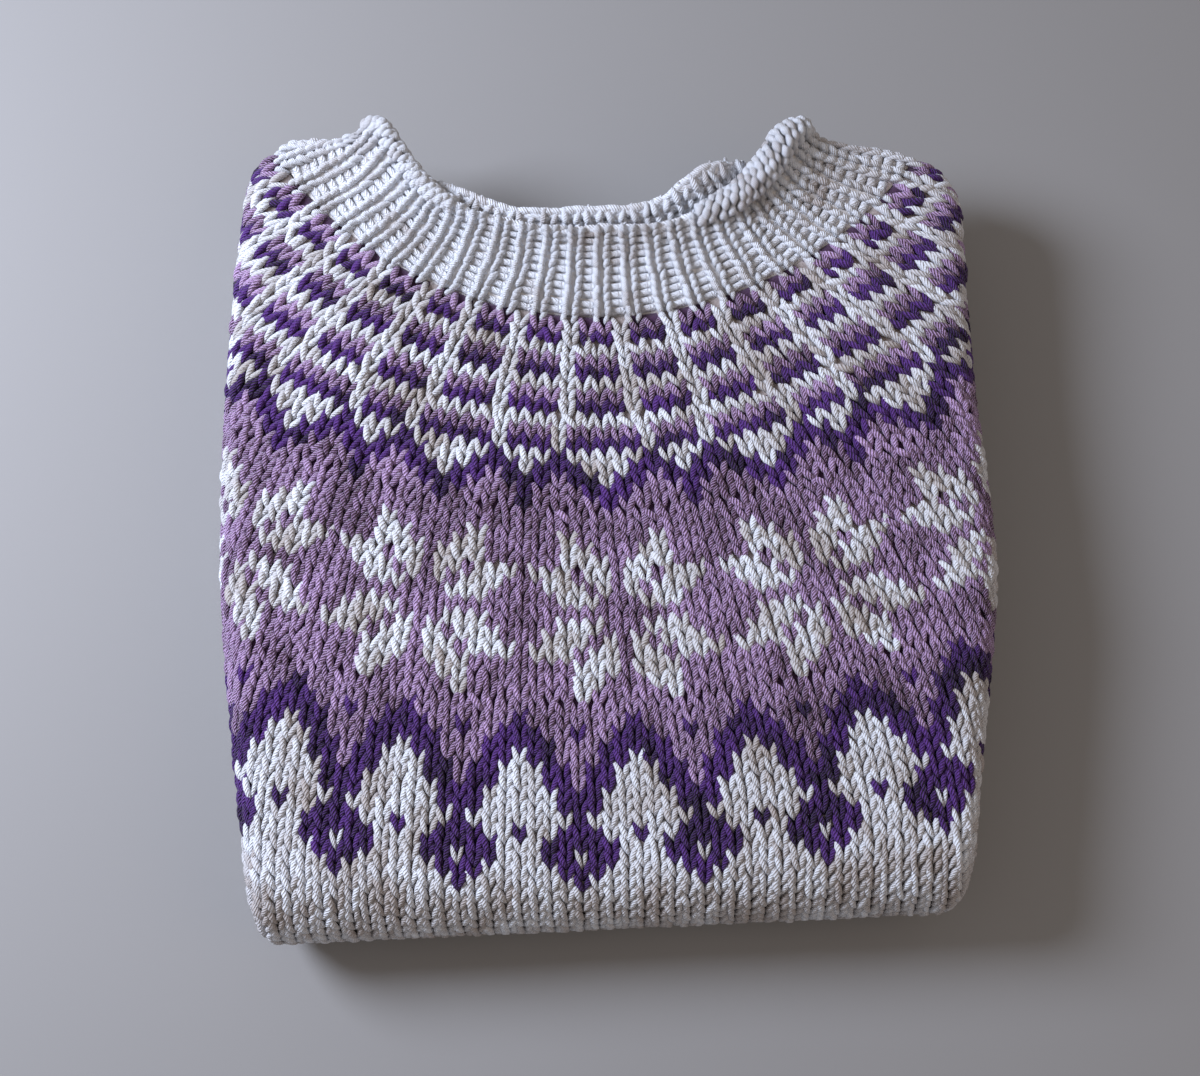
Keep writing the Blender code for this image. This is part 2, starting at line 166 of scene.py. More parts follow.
def fan_flat(repeat, row):
    """The flat place of a spot on the yoke, given in repeats from the middle and rows from the neckband."""
    x, y, width, tilt, spread = (table_value(row, FAN, column) for column in range(1, 6))
    tilt, spread = np.radians(tilt), np.radians(spread)
    radius = width / spread
    angle = tilt + spread * repeat
    x = x + radius * (np.sin(angle) - np.sin(tilt))
    y = y + radius * (np.cos(tilt) - np.cos(angle))
    y = (y - LEAN_AT_MIDDLE * x) / (1 + LEAN_PER_MM * x)
    return (x - table_value(y, OUTLINE, 2)) / table_value(y, OUTLINE, 1), y


def yoke_point(repeat, row, depth=0.0):
    return settle(*lay(*fan_flat(repeat, row), depth))


def wrapped(x, y):
    """How far cloth at this flat place has rolled round the bundle's edge, in radians."""
    off = np.hypot(np.maximum(np.abs(x) - (HALF_CORE - tuck(y)), 0), np.maximum(y - CORE_END, 0))
    return (off - CORNER) / ROLL


def wrap_limit(row):
    """How far the yoke goes round a roll at this row."""
    return WRAP_END - NECK_CUT * np.maximum(1 - row / NECK_ROWS, 0)


# The chart, in bands of rows down from the neckband, each up to the row given here. Then half a star, from its
# middle column outwards, with one row to a line
LADDERS_END, BOXES_END, FLOWERS_END, STARS_END = 2, 8, 16, 31
STAR = (
    "...o....",
    "..oo....",
    ".ooo....",
    ".oo.ooo.",
    ".o.ooo..",
    "..ooo...",
    "........",
    "..ooo...",
    ".o.ooo..",
    ".oo.ooo.",
    ".ooo....",
    "..oo....",
    "...o....",
)
STAR_ROW, ZIGZAG_ROW = 18, 32
ZIGZAG_FROM = (0, 1, 2, 4, 6)  # first purple row of the zigzag, by stitches from its peak
ZIGZAG_TO = (2, 3, 5, 7, 10)
BUD = {8: "..o", 9: ".oo", 10: "ooo", 11: "oo.", 12: ".oo", 13: "..o"}  # from two stitches out to the middle

# Stitches in a repeat above a row. The yoke is knitted upwards, so it loses two at each of these rows
WIDTHS = ((LADDERS_END, 6), (BOXES_END, 8), (FLOWERS_END, 10), (21, 12), (STARS_END, 14), (math.inf, 16))

# The uneven stitches of a repeat, by row and place: lean and plumpness. Two knitted together lean and stand
# out, and the one at the middle of each bud is drawn in
UNEVEN = {
    **dict.fromkeys([(2, 3), (2, 7)], (0.35, 1.3)),
    **dict.fromkeys([(8, 2), (8, 8)], (0.3, 1.3)),
    **dict.fromkeys([(16, 3), (16, 9), (21, 7), (31, 5), (31, 11)], (0.3, 1.2)),
    **dict.fromkeys([(ZIGZAG_ROW + 11, 4), (ZIGZAG_ROW + 11, 12)], (0.0, 0.7)),
}


def stitches_in_repeat(row):
    return next(count for end, count in WIDTHS if row < end)


def yarn_of(row, stitch):
    """Which yarn the chart gives a stitch, counted from the middle of the front."""
    if row < LADDERS_END:
        rung = round(stitch - 1.5) % 3 == 0
        return "white" if rung else ("lilac", "purple")[row]
    if row < BOXES_END:
        if stitch % 4 == 2:
            return "white"
        return ("white", "lilac", "purple")[(row - LADDERS_END) % 3]
    if row < FLOWERS_END:
        place = (stitch + 3) % 10 - 3
        if row < 11:
            return "white" if place in (3, -3) else ("white", "lilac", "purple")[row - BOXES_END]
        small = abs(place - 5)  # out from the small flower between two large ones
        if row == 11:
            return "purple" if abs(place) == 3 else "white"
        if row == 12:
            return "white" if abs(place) < 2 or small == 0 else "purple"
        if row == 13:
            return "white" if place == 0 else "lilac" if abs(place) == 3 else "purple"
        if row == 14:
            return "purple" if abs(place) < 2 or small == 0 else "lilac"
        return "purple" if place == 0 or small == 0 else "lilac"
    if row < STARS_END:
        half = stitches_in_repeat(row) // 2
        place = (stitch + half) % (2 * half) - half
        if STAR_ROW <= row and STAR[row - STAR_ROW][abs(place)] == "o":
            return "white"
        return "lilac"
    place = (stitch + 4) % 8 - 4
    out, down = abs(place), row - ZIGZAG_ROW
    if down < ZIGZAG_FROM[out]:
        return "purple" if (out, down) == (4, 1) else "lilac"
    if down <= ZIGZAG_TO[out]:
        return "purple"
    if out >= 2 and down in BUD:
        return "purple" if BUD[down][out - 2] == "o" else "white"
    return "purple" if (out, down) == (0, 9) else "white"


def linear(hex_colour):
    """An sRGB hex colour as Blender's linear one, opaque."""
    parts = [int(hex_colour[i : i + 2], 16) / 255 for i in (1, 3, 5)]
    return (*(p / 12.92 if p <= 0.04045 else ((p + 0.055) / 1.055) ** 2.4 for p in parts), 1)


def add_node(tree, kind, links=(), **settings):
    """Adds a node with its settings and inputs. Each link is an input and the socket or node that feeds it."""
    node = tree.nodes.new(kind)
    for key, value in settings.items():
        if key == "inputs":
            for name, given in value.items():
                node.inputs[name].default_value = given
        else:
            setattr(node, key, value)
    for name, source in links:
        if isinstance(source, bpy.types.Node):  # its first output
            source = source.outputs[0]
        tree.links.new(source, node.inputs[name])
    return node


def new_material(name, **surface):
    """A material with its node tree and shader, whose inputs are set from surface, with _ for a space."""
    material = bpy.data.materials.new(name)
    material.use_nodes = True
    shader = material.node_tree.nodes["Principled BSDF"]
    for key, value in surface.items():
        shader.inputs[key.replace("_", " ")].default_value = value
    return material, material.node_tree, shader


def relief_and_painted_light(tree, shader, height, depth, tone=None, shade=None, light=None, strength=1.0):
    """Gives the shader relief from height, this deep in metres, and colours it by tone from a shade colour to a
    light one, as painted shade and painted light.
    """
    bump = add_node(
        tree, "ShaderNodeBump", [("Height", height)], inputs={"Strength": strength, "Distance": depth}
    )
    tree.links.new(bump.outputs[0], shader.inputs["Normal"])
    if tone is not None:
        both = {MIX_SHADE: linear(shade), MIX_LIGHT: linear(light)}
        colour = add_node(tree, "ShaderNodeMix", [("Factor", tone)], data_type="RGBA", inputs=both)
        tree.links.new(colour.outputs[MIXED], shader.inputs["Base Color"])


MIX_SHADE, MIX_LIGHT, MIXED = 6, 7, 2  # a Mix node's sockets for colours
MAP_CELLS = 8  # the yarn's map has 8 by 8 cells, with the darkest painted shade in the first column and painted light in the last
PLIES_ALONG, PLIES_AROUND = 9.0, 6.0  # 1 mm apart on a leg 9 mm long. Real ones are finer, too fine to show
FIBRES = 11.0  # to a leg, 0.8 mm apart, coarser than real ones for the same reason
TUFTS = 900.0  # to a metre, 1.1 mm apart


def yarn_wool(name, light, shade, relief, sheen=0.3):
    """Plied wool, spun and dyed: slanting plies and fine fibres on each leg of yarn, with painted highlights on
    the plies and painted shade between them, and each leg painted as lit or shaded as its map cell says.
    """
    material, tree, shader = new_material(
        name, Roughness=0.62, Specular_IOR_Level=0.4, Sheen_Weight=sheen, Sheen_Roughness=0.4
    )
    uv = add_node(tree, "ShaderNodeUVMap", uv_map="OFBake")
    sheet = add_node(tree, "ShaderNodeVectorMath", [(0, uv)], operation="SCALE", inputs={"Scale": MAP_CELLS})
    cell = add_node(tree, "ShaderNodeVectorMath", [(0, sheet)], operation="FLOOR")
    place = add_node(tree, "ShaderNodeVectorMath", [(0, sheet)], operation="FRACTION")
    column = add_node(tree, "ShaderNodeSeparateXYZ", [(0, cell)])
    split = add_node(tree, "ShaderNodeSeparateXYZ", [(0, place)])
    along = add_node(
        tree, "ShaderNodeMath", [(0, split.outputs["X"])], operation="MULTIPLY", inputs={1: PLIES_ALONG}
    )
    slant = add_node(
        tree,
        "ShaderNodeMath",
        [(0, split.outputs["Y"]), (2, along)],
        operation="MULTIPLY_ADD",
        inputs={1: PLIES_AROUND},
    )
    turn = add_node(tree, "ShaderNodeMath", [(0, slant)], operation="MULTIPLY", inputs={1: 2 * math.pi})
    ply = add_node(tree, "ShaderNodeMath", [(0, turn)], operation="SINE")
    fibre = add_node(
        tree,
        "ShaderNodeTexNoise",
        [("Vector", sheet)],
        inputs={"Scale": FIBRES, "Detail": 3.0, "Roughness": 0.7},
    )
    height = add_node(
        tree, "ShaderNodeMath", [(0, ply), (2, fibre)], operation="MULTIPLY_ADD", inputs={1: 0.28}
    )
    # Painted highlights on the plies' crests and painted shade in their hollows
    shading = add_node(
        tree,
        "ShaderNodeMapRange",
        [("Value", height)],
        inputs={"From Min": 0.1, "From Max": 0.9, "To Min": -0.42 * relief, "To Max": 0.5 * relief},
    )
    # How lit the leg is painted: its map cell's column, plus the painted ply shading
    toned = add_node(
        tree,
        "ShaderNodeMath",
        [(0, column.outputs["X"]), (2, shading)],
        operation="MULTIPLY_ADD",
        use_clamp=True,
        inputs={1: 1 / (MAP_CELLS - 1)},
    )
    relief_and_painted_light(tree, shader, height, 0.0008 * relief, toned, shade, light)
    return material


# The white is smooth and bright. Painted shade darkens the hollows between the plies and painted highlights
# light their crests, more strongly on the dyed wools, so the plies show more
WOOLS = {
    "white": yarn_wool("White plied wool", "#F1F4FA", "#B6ABA5", relief=0.55),
    "lilac": yarn_wool("Lilac plied wool", "#DFB9EA", "#55304C", relief=1.5),
    "purple": yarn_wool("Dark purple plied wool", "#663592", "#1A0724", relief=1.2, sheen=0.1),
}


def backing_wool(name):
    """The wool seen down between stitches, fuzzy: painted shade, in a darkened copy of the colour that the
    chart gives the place.
    """
    material, tree, shader = new_material(name, Roughness=0.95, Sheen_Weight=0.2)
    yarn = add_node(tree, "ShaderNodeAttribute", attribute_name="Yarn_shade")
    where = add_node(tree, "ShaderNodeTexCoord").outputs["Object"]
    fuzz = add_node(tree, "ShaderNodeTexNoise", [("Vector", where)], inputs={"Scale": TUFTS, "Detail": 3.0})
    tone = add_node(tree, "ShaderNodeMapRange", [("Value", fuzz)], inputs={"To Min": 0.75, "To Max": 1.2})
    links = [(0, yarn.outputs["Color"]), ("Scale", tone)]
    colour = add_node(tree, "ShaderNodeVectorMath", links, operation="SCALE")
    tree.links.new(colour.outputs[0], shader.inputs["Base Color"])
    relief_and_painted_light(tree, shader, fuzz, 0.0006, strength=0.8)
    return material


BACKING = backing_wool("Wool between the stitches")
# Painted shade: each yarn's colour darkened, for the cloth seen down between the stitches
BACKING_PAINTED_SHADES = {"white": "#A79A94", "lilac": "#482C48", "purple": "#190B26", "rib": "#EDE9E6"}


def new_piece(name, mesh, material):
    piece = bpy.data.objects.new(name, mesh)
    bpy.context.scene.collection.objects.link(piece)
    if material:
        mesh.materials.clear()
        mesh.materials.append(material)
    return piece


def turn_outwards(mesh):
    """Points a closed mesh's faces outwards and shades it smooth."""
    work = bmesh.new()
    work.from_mesh(mesh)
    bmesh.ops.recalc_face_normals(work, faces=work.faces)
    work.to_mesh(mesh)
    work.free()
    mesh.shade_smooth()


def corners_of_faces(first, second):
    """What two neighbouring rows or sheets of a grid hold at the four corners of each face between them."""
    return np.stack([first[..., :-1], first[..., 1:], second[..., 1:], second[..., :-1]], -1).reshape(-1, 4)


def cloth_wall(name, outer, inner, colours=(), ring=False, material=BACKING, plain="white"):
    """Closed cloth between two grids of points in millimetres, coloured by face with its yarn's painted shade.
    """
    index = np.arange(2 * outer[..., 0].size).reshape(2, *outer.shape[:2])
    if ring:
        index = np.concatenate([index, index[..., :1]], -1)
    faces = corners_of_faces(index[:, :-1], index[:, 1:])
    rims = [corners_of_faces(index[0, [0, -1]], index[1, [0, -1]])]
    if not ring:
        rims.append(corners_of_faces(index[0][:, [0, -1]].T, index[1][:, [0, -1]].T))
    points = np.concatenate([outer.reshape(-1, 3), inner.reshape(-1, 3)]) / 1000
    mesh = bpy.data.meshes.new(name)
    mesh.from_pydata(points.tolist(), [], np.concatenate([faces, *rims]).tolist())
    painted_shades = {yarn: linear(colour) for yarn, colour in BACKING_PAINTED_SHADES.items()}
    values = np.full((len(mesh.polygons), 4, 4), painted_shades[plain], np.float32)
    for face, yarn in enumerate(colours):
        values[[face, face + len(faces) // 2]] = painted_shades[yarn]
    paint = mesh.attributes.new("Yarn_shade", "FLOAT_COLOR", "CORNER")
    paint.data.foreach_set("color", values.ravel())
    turn_outwards(mesh)
    return new_piece(name, mesh, material)


# The legs of a stitch: across, up, out, half width and depth, in stitch widths, but upwards in rows. Each is
# two rows long. Its lower end lies over the stitch below, and its upper end dives under the stitch above.
LEFT_LEG = (
    (-0.49, 0.95, -0.24, 0.09, 0.08),
    (-0.45, 0.60, -0.05, 0.205, 0.20),
    (-0.365, 0.20, 0.05, 0.25, 0.25),
    (-0.245, -0.24, 0.08, 0.25, 0.255),
    (-0.115, -0.65, 0.03, 0.195, 0.20),
    (0.01, -1.0, -0.17, 0.08, 0.08),
)
RIGHT_LEG = (
    (0.50, 0.88, -0.24, 0.08, 0.07),
    (0.46, 0.56, -0.06, 0.19, 0.18),
    (0.375, 0.18, 0.03, 0.235, 0.235),
    (0.255, -0.24, 0.05, 0.235, 0.235),
    (0.13, -0.62, 0.00, 0.18, 0.18),
    (0.03, -0.94, -0.18, 0.07, 0.07),
)
LEG_SIDES = 5
TIP_LENGTH = 0.12  # share of the last ring's spacing
MAP_MARGIN = 0.05  # of each cell of the map, left empty all round


def unit(vectors):
    return vectors / np.linalg.norm(vectors, axis=-1, keepdims=True)


def yarn_leg(name, rings):
    """A short plump strand through rings of the table, with a map of its length and its girth."""
    rings = np.array(rings)
    centre, half_width, depth = rings[:, :3], rings[:, 3, None, None], rings[:, 4, None, None]
    across = unit(np.cross(np.gradient(centre, axis=0), (0, 0, 1.0)))[:, None]
    angles = np.radians(np.arange(LEG_SIDES) * 360 / LEG_SIDES - 90)[:, None]
    girth = across * np.cos(angles) * half_width + np.array([0, 0, 1.0]) * np.sin(angles) * depth
    points = (centre[:, None] + girth).reshape(-1, 3)
    tips = [end + (end - inward) * TIP_LENGTH for end, inward in (centre[:2], centre[:-3:-1])]
    index = np.arange(len(points)).reshape(len(rings), LEG_SIDES)
    index = np.concatenate([index, index[:, :1]], 1)
    u, v = np.meshgrid(np.linspace(0, 1, len(rings)), np.linspace(0, 1, LEG_SIDES + 1), indexing="ij")
    faces = corners_of_faces(index[:-1], index[1:]).tolist()
    texture = np.stack([corners_of_faces(grid[:-1], grid[1:]) for grid in (u, v)], -1).reshape(-1, 2).tolist()
    for ring, tip in ((0, len(points)), (-1, len(points) + 1)):
        for side in range(LEG_SIDES):
            faces.append([index[ring, side + 1], index[ring, side], tip])
            texture += [(u[ring, 0], (side + place) / LEG_SIDES) for place in (1, 0, 0.5)]
    mesh = bpy.data.meshes.new(name)
    mesh.from_pydata([*points.tolist(), *tips], [], faces)
    layer = mesh.uv_layers.new(name="leg")
    texture = np.array(texture, np.float32).ravel() * (1 - 2 * MAP_MARGIN) + MAP_MARGIN
    layer.data.foreach_set("uv", texture)
    turn_outwards(mesh)
    return new_piece(name, mesh, None)


# What each point says of its leg of yarn. The leg itself brings its own map, named leg
STITCH_DATA = {
    "turn": "QUATERNION",
    "size": "FLOAT_VECTOR",
    "right": "BOOLEAN",
    "leg": "FLOAT_VECTOR",
    "cell": "FLOAT_VECTOR",
}


def stitch_tree():
    """Sets a leg of yarn on each point, turned and sized by the point's own attributes."""
    tree = bpy.data.node_groups.new("Set stitches", "GeometryNodeTree")
    for name, way, kind in (
        ("Geometry", "INPUT", "Geometry"),
        ("Left leg", "INPUT", "Object"),
        ("Right leg", "INPUT", "Object"),
        ("Wool", "INPUT", "Material"),
        ("Geometry", "OUTPUT", "Geometry"),
    ):
        tree.interface.new_socket(name, in_out=way, socket_type=f"NodeSocket{kind}")
    given = add_node(tree, "NodeGroupInput")
    turn, size, right, leg, cell = (
        add_node(tree, "GeometryNodeInputNamedAttribute", data_type=kind, inputs={"Name": name})
        for name, kind in STITCH_DATA.items()
    )
    left = add_node(tree, "FunctionNodeBooleanMath", [(0, right)], operation="NOT")
    join = add_node(tree, "GeometryNodeJoinGeometry")
    for side, pick in (("Right leg", right), ("Left leg", left)):
        strand = add_node(tree, "GeometryNodeObjectInfo", [("Object", given.outputs[side])])
        laid = add_node(
            tree,
            "GeometryNodeInstanceOnPoints",
            [
                ("Points", given.outputs["Geometry"]),
                ("Selection", pick),
                ("Instance", strand.outputs["Geometry"]),
                ("Rotation", turn),
                ("Scale", size),
            ],
        )
        tree.links.new(laid.outputs[0], join.inputs[0])
    solid = add_node(tree, "GeometryNodeRealizeInstances", [(0, join)])
    both = add_node(tree, "ShaderNodeVectorMath", [(0, leg), (1, cell)], operation="ADD")
    shrunk = add_node(
        tree, "ShaderNodeVectorMath", [(0, both)], operation="SCALE", inputs={"Scale": 1 / MAP_CELLS}
    )
    mapped = add_node(
        tree,
        "GeometryNodeStoreNamedAttribute",
        [("Geometry", solid), ("Value", shrunk)],
        data_type="FLOAT2",
        domain="CORNER",
        inputs={"Name": "OFBake"},
    )
    links = [("Geometry", mapped), ("Material", given.outputs["Wool"])]
    dyed = add_node(tree, "GeometryNodeSetMaterial", links)
    add_node(tree, "NodeGroupOutput", [(0, dyed)])
    return tree


STITCH_TREE = stitch_tree()
LEGS = (yarn_leg("Left leg", LEFT_LEG), yarn_leg("Right leg", RIGHT_LEG))
dice = np.random.default_rng(11)

# How uneven hand knitting is, and how the painted light and shade vary: the spread of each wobble from leg to
# leg, and what neighbours share
LEAN_WOBBLE = 0.06  # radians
SHIFT_WOBBLE = (0.16, 0.25, 0.14)  # mm across, upwards and out
WIDTH_WOBBLE = 0.06
SWAY = 0.5  # mm across
TONE_WOBBLE, SHADE_PATCHES = 0.13, 0.6  # of the way from the yarn's painted shade to its painted light, at random and in patches laid by noise


def stitch_frames(point, across, down, depth, step=(0.5, 0.5)):
    """Each stitch's middle on the cloth, and how far the cloth runs there for one unit across and one down."""
    one, other = step
    side = (point(across + one, down, depth) - point(across - one, down, depth)) / (2 * one)
    fall = (point(across, down + other, depth) - point(across, down - other, depth)) / (2 * other)
    return point(across, down, depth), side, fall


def set_stitches(name, frames, width, wool="white", lean=0.0, plump=1.0, strands=LEGS, tone=0.55):
    """Lays one strand or two for each stitch, placed by frames like those of stitch_frames.

    width is in mm, lean in radians and plump a share of width. tone is how lit the wool is painted, from its
    painted shade to its painted light.
    """
    middle, side, fall = frames
    count = len(middle)
    width, lean, plump = (np.broadcast_to(v, (count,)) for v in (width, lean, plump))
    rows = np.linalg.norm(fall, axis=1)
    up = -fall / rows[:, None]
    side = unit(side - up * np.sum(side * up, axis=1, keepdims=True))
    out = np.cross(side, up)
    places, turns, sizes, rights, cells = [], [], [], [], []
    for s in range(count):
        basis = Matrix((side[s], up[s], out[s])).transposed()
        # Patches of painted shade and painted light, placed by noise
        shade_patch = noise.noise(Vector(middle[s] / 13)) + 0.5 * noise.noise(Vector(middle[s] / 5))
        sway = noise.noise(Vector(middle[s] / 9 + 40))
        for leg in range(len(strands)):
            wobble = dice.normal(0, 1, 6)
            leaning = Matrix.Rotation(lean[s] + LEAN_WOBBLE * wobble[0], 3, "Z")
            spin = leaning @ Matrix.Rotation(LEAN_WOBBLE * wobble[1], 3, "X")
            turns.append((basis @ spin).to_quaternion())
            across, upwards, outwards = SHIFT_WOBBLE * wobble[2:5]
            places.append(middle[s] + side[s] * (across + SWAY * sway) + up[s] * upwards + out[s] * outwards)
            wide = width[s] * plump[s] * (1 + WIDTH_WOBBLE * wobble[5])
            sizes.append((wide, rows[s], wide))
            rights.append(leg)
            # How lit the leg is painted picks the map's column. Its row is picked at random
            shade = tone + SHADE_PATCHES * shade_patch + TONE_WOBBLE * dice.normal()
            cells.append((int(np.clip(shade * MAP_CELLS, 0, MAP_CELLS - 1)), dice.integers(0, MAP_CELLS), 0))
    points = bpy.data.meshes.new(name)
    points.from_pydata((np.array(places) / 1000).tolist(), [], [])
    for attribute, values in (
        ("turn", [tuple(turn) for turn in turns]),
        ("size", np.array(sizes) / 1000),
        ("right", rights),
        ("cell", cells),
    ):
        kind = STITCH_DATA[attribute]
        layer = points.attributes.new(attribute, kind, "POINT")
        values = np.array(values, bool if kind == "BOOLEAN" else np.float32).ravel()
        layer.data.foreach_set("vector" if kind == "FLOAT_VECTOR" else "value", values)
    piece = new_piece(name, points, None)
    setter = piece.modifiers.new("Stitches", "NODES")
    setter.node_group = STITCH_TREE
    named = {item.name: item.identifier for item in STITCH_TREE.interface.items_tree if item.in_out == "INPUT"}
    setter[named["Left leg"]], setter[named["Right leg"]] = strands[0], strands[-1]
    setter[named["Wool"]] = WOOLS[wool]
    graph = bpy.context.evaluated_depsgraph_get()
    mesh = bpy.data.meshes.new_from_object(piece.evaluated_get(graph))
    piece.modifiers.remove(setter)
    piece.data = mesh
    bpy.data.meshes.remove(points)
    for spare in STITCH_DATA:
        if spare in mesh.attributes:
            mesh.attributes.remove(mesh.attributes[spare])
    spots = np.empty(len(mesh.vertices) * 3, np.float32)
    mesh.vertices.foreach_get("co", spots)
    spots[2::3] = np.maximum(spots[2::3], 0)  # pressed flat where the bundle rests
    mesh.vertices.foreach_set("co", spots)
    mesh.shade_smooth()
    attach(piece, "root")
    return piece


# The yoke's cloth behind its stitches, two faces to a row, in the chart's colours darkened as painted shade
CLOTH_DEPTH, CLOTH_INNER = 2.0, 3.8  # of its two faces, below the tops of the stitches
FURTHEST = 6  # no part of the yoke lies more repeats than this from the middle
shell_rows = np.arange(0, YOKE_END_ROW + 0.5, 0.5)
shell_repeats = []  # close together on the two rolls, and even between them
for row in shell_rows:
    edges = []
    for way in (-1, 1):
        reach = way * np.linspace(0, FURTHEST, 601)
        turned = np.maximum.accumulate(wrapped(*fan_flat(reach, np.full(601, row))))
        edges.append(np.interp(np.linspace(0, 1, 9) * wrap_limit(row), turned, reach))
    level = np.linspace(edges[0][0], edges[1][0], 81)
    shell_repeats.append(np.concatenate([edges[0][:0:-1], level, edges[1][1:]]))
shell_repeats = np.array(shell_repeats)
shell_grid_rows = np.repeat(shell_rows[:, None], shell_repeats.shape[1], 1)
shell_yarns = []
for repeats, row in zip(shell_repeats[:-1], shell_rows.astype(int)):
    count = stitches_in_repeat(row)
    for m in (repeats[1:] + repeats[:-1]) / 2 * count:
        shell_yarns.append(yarn_of(row, math.floor(m) + 0.5 if row < LADDERS_END else round(m)))
yoke = cloth_wall(
    "yoke_cloth",
    yoke_point(shell_repeats, shell_grid_rows, CLOTH_DEPTH),
    yoke_point(shell_repeats, shell_grid_rows, CLOTH_INNER),
    shell_yarns,
)

# The yoke's stitches
STITCH_DEPTH = 1.1  # of a stitch's middle, below the tops of the stitches
STITCH_MIDDLE = 0.95  # rows from a stitch's upper end
laid = {"white": [], "lilac": [], "purple": []}
for row in range(int(YOKE_END_ROW)):
    count = stitches_in_repeat(row)
    offset = 0.5 if row < LADDERS_END else 0
    for index in range(-FURTHEST * count, FURTHEST * count + 1):
        stitch = index + offset
        x, y = fan_flat(np.array([stitch / count]), np.array([row + STITCH_MIDDLE]))
        if wrapped(x, y)[0] > wrap_limit(row) - 0.12:  # past the cloth's end
            continue
        lean, plump = UNEVEN.get((row, stitch % count), (0.0, 1.0))
        yarn = yarn_of(row, stitch)
        if yarn == "white" and STAR_ROW <= row < STARS_END:  # the stars' stitches swell and shrink in patches
            plump *= 1.12 + 0.3 * noise.noise(Vector((0.8 * stitch, 0.6 * row, 3)))
        laid[yarn].append((stitch / count, row + STITCH_MIDDLE, count, lean, plump))

for yarn, stitches in laid.items():
    repeat, row, count, lean, plump = np.array(stitches).T
    frames = stitch_frames(yoke_point, repeat, row, STITCH_DEPTH, step=(0.02, 0.2))
    width = np.linalg.norm(frames[1], axis=1) / count
    # How lit each yarn's stitches are painted: the white a little more in painted shade
    tone = 0.54 if yarn == "white" else 0.55
    piece = set_stitches(f"yoke_{yarn}_stitches", frames, width, yarn, lean, plump, tone=tone)
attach(yoke, "root")
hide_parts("yoke")


# ---- The body ----
# Plain knitting in the white yarn, on down from the yoke. It turns down round the near fold, lies flat
# underneath and rolls up over the sides. Underneath, where it rests, the stitches are pressed flat.

GAUGE, ROW_PITCH = 4.95, 4.3  # a stitch of the body, across and down
HEM_END, HEM_BAND = 124.0, 45.0  # where the hem ends underneath, and how deep it is
HEM_START = NEAR_FOLD - math.pi * FOLD - (HEM_END - HEM_BAND - NEAR_FOLD)
YOKE_EDGE = np.linspace(-3.5, 3.5, 141)
LEVEL = HALF_CORE + CORNER  # half the width up to the side rolls


def body_point(x, y, depth=0.0):
    return settle(*lay(x - tuck(y) * np.clip(x / 100, -1, 1), y, depth))


def yoke_lower_edge(x):
    return np.interp(x, *fan_flat(YOKE_EDGE, np.full(141, YOKE_END_ROW)))


def shell_depth(x, y):
    """The cloth lies under the stitches, and comes to the surface where it lies flat underneath."""
    under = np.clip((NEAR_FOLD - y) / FOLD - math.radians(140), 0, 0.6) / 0.6
    flat = np.clip((LEVEL + 4 - np.abs(x)) / 6, 0, 1)
    return CLOTH_DEPTH - 1.75 * under * flat


def plain_knit(name, light, shade):
    """Knitting pressed flat: rows of small V shapes, from a map that counts stitches across and rows down,
    raised in relief, with painted light on the V's legs and painted shade between them.
    """
    material, tree, shader = new_material(name, Roughness=0.9, Sheen_Weight=0.25)
    uv = add_node(tree, "ShaderNodeUVMap", uv_map="OFBake")
    counted = add_node(
        tree, "ShaderNodeVectorMath", [(0, uv)], operation="SCALE", inputs={"Scale": MAP_STITCHES}
    )
    split = add_node(tree, "ShaderNodeSeparateXYZ", [(0, counted)])
    saw = add_node(tree, "ShaderNodeMath", [(0, split.outputs["X"])], operation="PINGPONG", inputs={1: 0.5})
    links = [(0, saw), (2, split.outputs["Y"])]
    slope = add_node(tree, "ShaderNodeMath", links, operation="MULTIPLY_ADD", inputs={1: 2.2})
    row = add_node(tree, "ShaderNodeMath", [(0, slope)], operation="PINGPONG", inputs={1: 0.5})
    leg = add_node(tree, "ShaderNodeMath", [(0, saw)], operation="PINGPONG", inputs={1: 0.25})
    links = [(0, leg), (2, row)]
    height = add_node(tree, "ShaderNodeMath", links, operation="MULTIPLY_ADD", inputs={1: 2.0})
    relief_and_painted_light(tree, shader, height, 0.0012, height, shade, light)
    return material


def map_stitches(mesh, u, v):
    """Gives a wall's mesh its map. u and v are grids in stitches across and rows down."""
    layer = mesh.uv_layers.new(name="OFBake")
    spots = np.stack([u, v], -1).reshape(-1, 2) / MAP_STITCHES
    spots = np.concatenate([spots, spots])
    corner = np.zeros(len(mesh.loops), np.int32)
    mesh.loops.foreach_get("vertex_index", corner)
    layer.data.foreach_set("uv", spots[corner].astype(np.float32).ravel())


MAP_STITCHES = 64.0  # stitches and rows on one side of the map
HALF_STITCHES = 31  # of the body, to one side of its middle
# The pressed knitting's light colour and its painted shade
PRESSED = plain_knit("White wool pressed flat", "#EFEDF2", "#A59A94")
roll = LEVEL + ROLL * np.linspace(0, WRAP_END, 10)[1:]
shell_x = np.concatenate([-roll[::-1], np.linspace(-1, 1, 55) * LEVEL, roll])
shell_down = np.concatenate([np.linspace(0, 0.26, 34), np.linspace(0.26, 1, 30)[1:]])[:, None]
shell_y = yoke_lower_edge(shell_x) + (HEM_START - yoke_lower_edge(shell_x)) * shell_down
shell_x = np.repeat(shell_x[None, :], len(shell_down), 0)
body = cloth_wall(
    "body_cloth",
    body_point(shell_x, shell_y, shell_depth(shell_x, shell_y)),
    body_point(shell_x, shell_y, CLOTH_INNER),
    material=PRESSED,
)
map_stitches(body.data, HALF_STITCHES + shell_x / GAUGE, (yoke_lower_edge(shell_x) - shell_y) / ROW_PITCH)

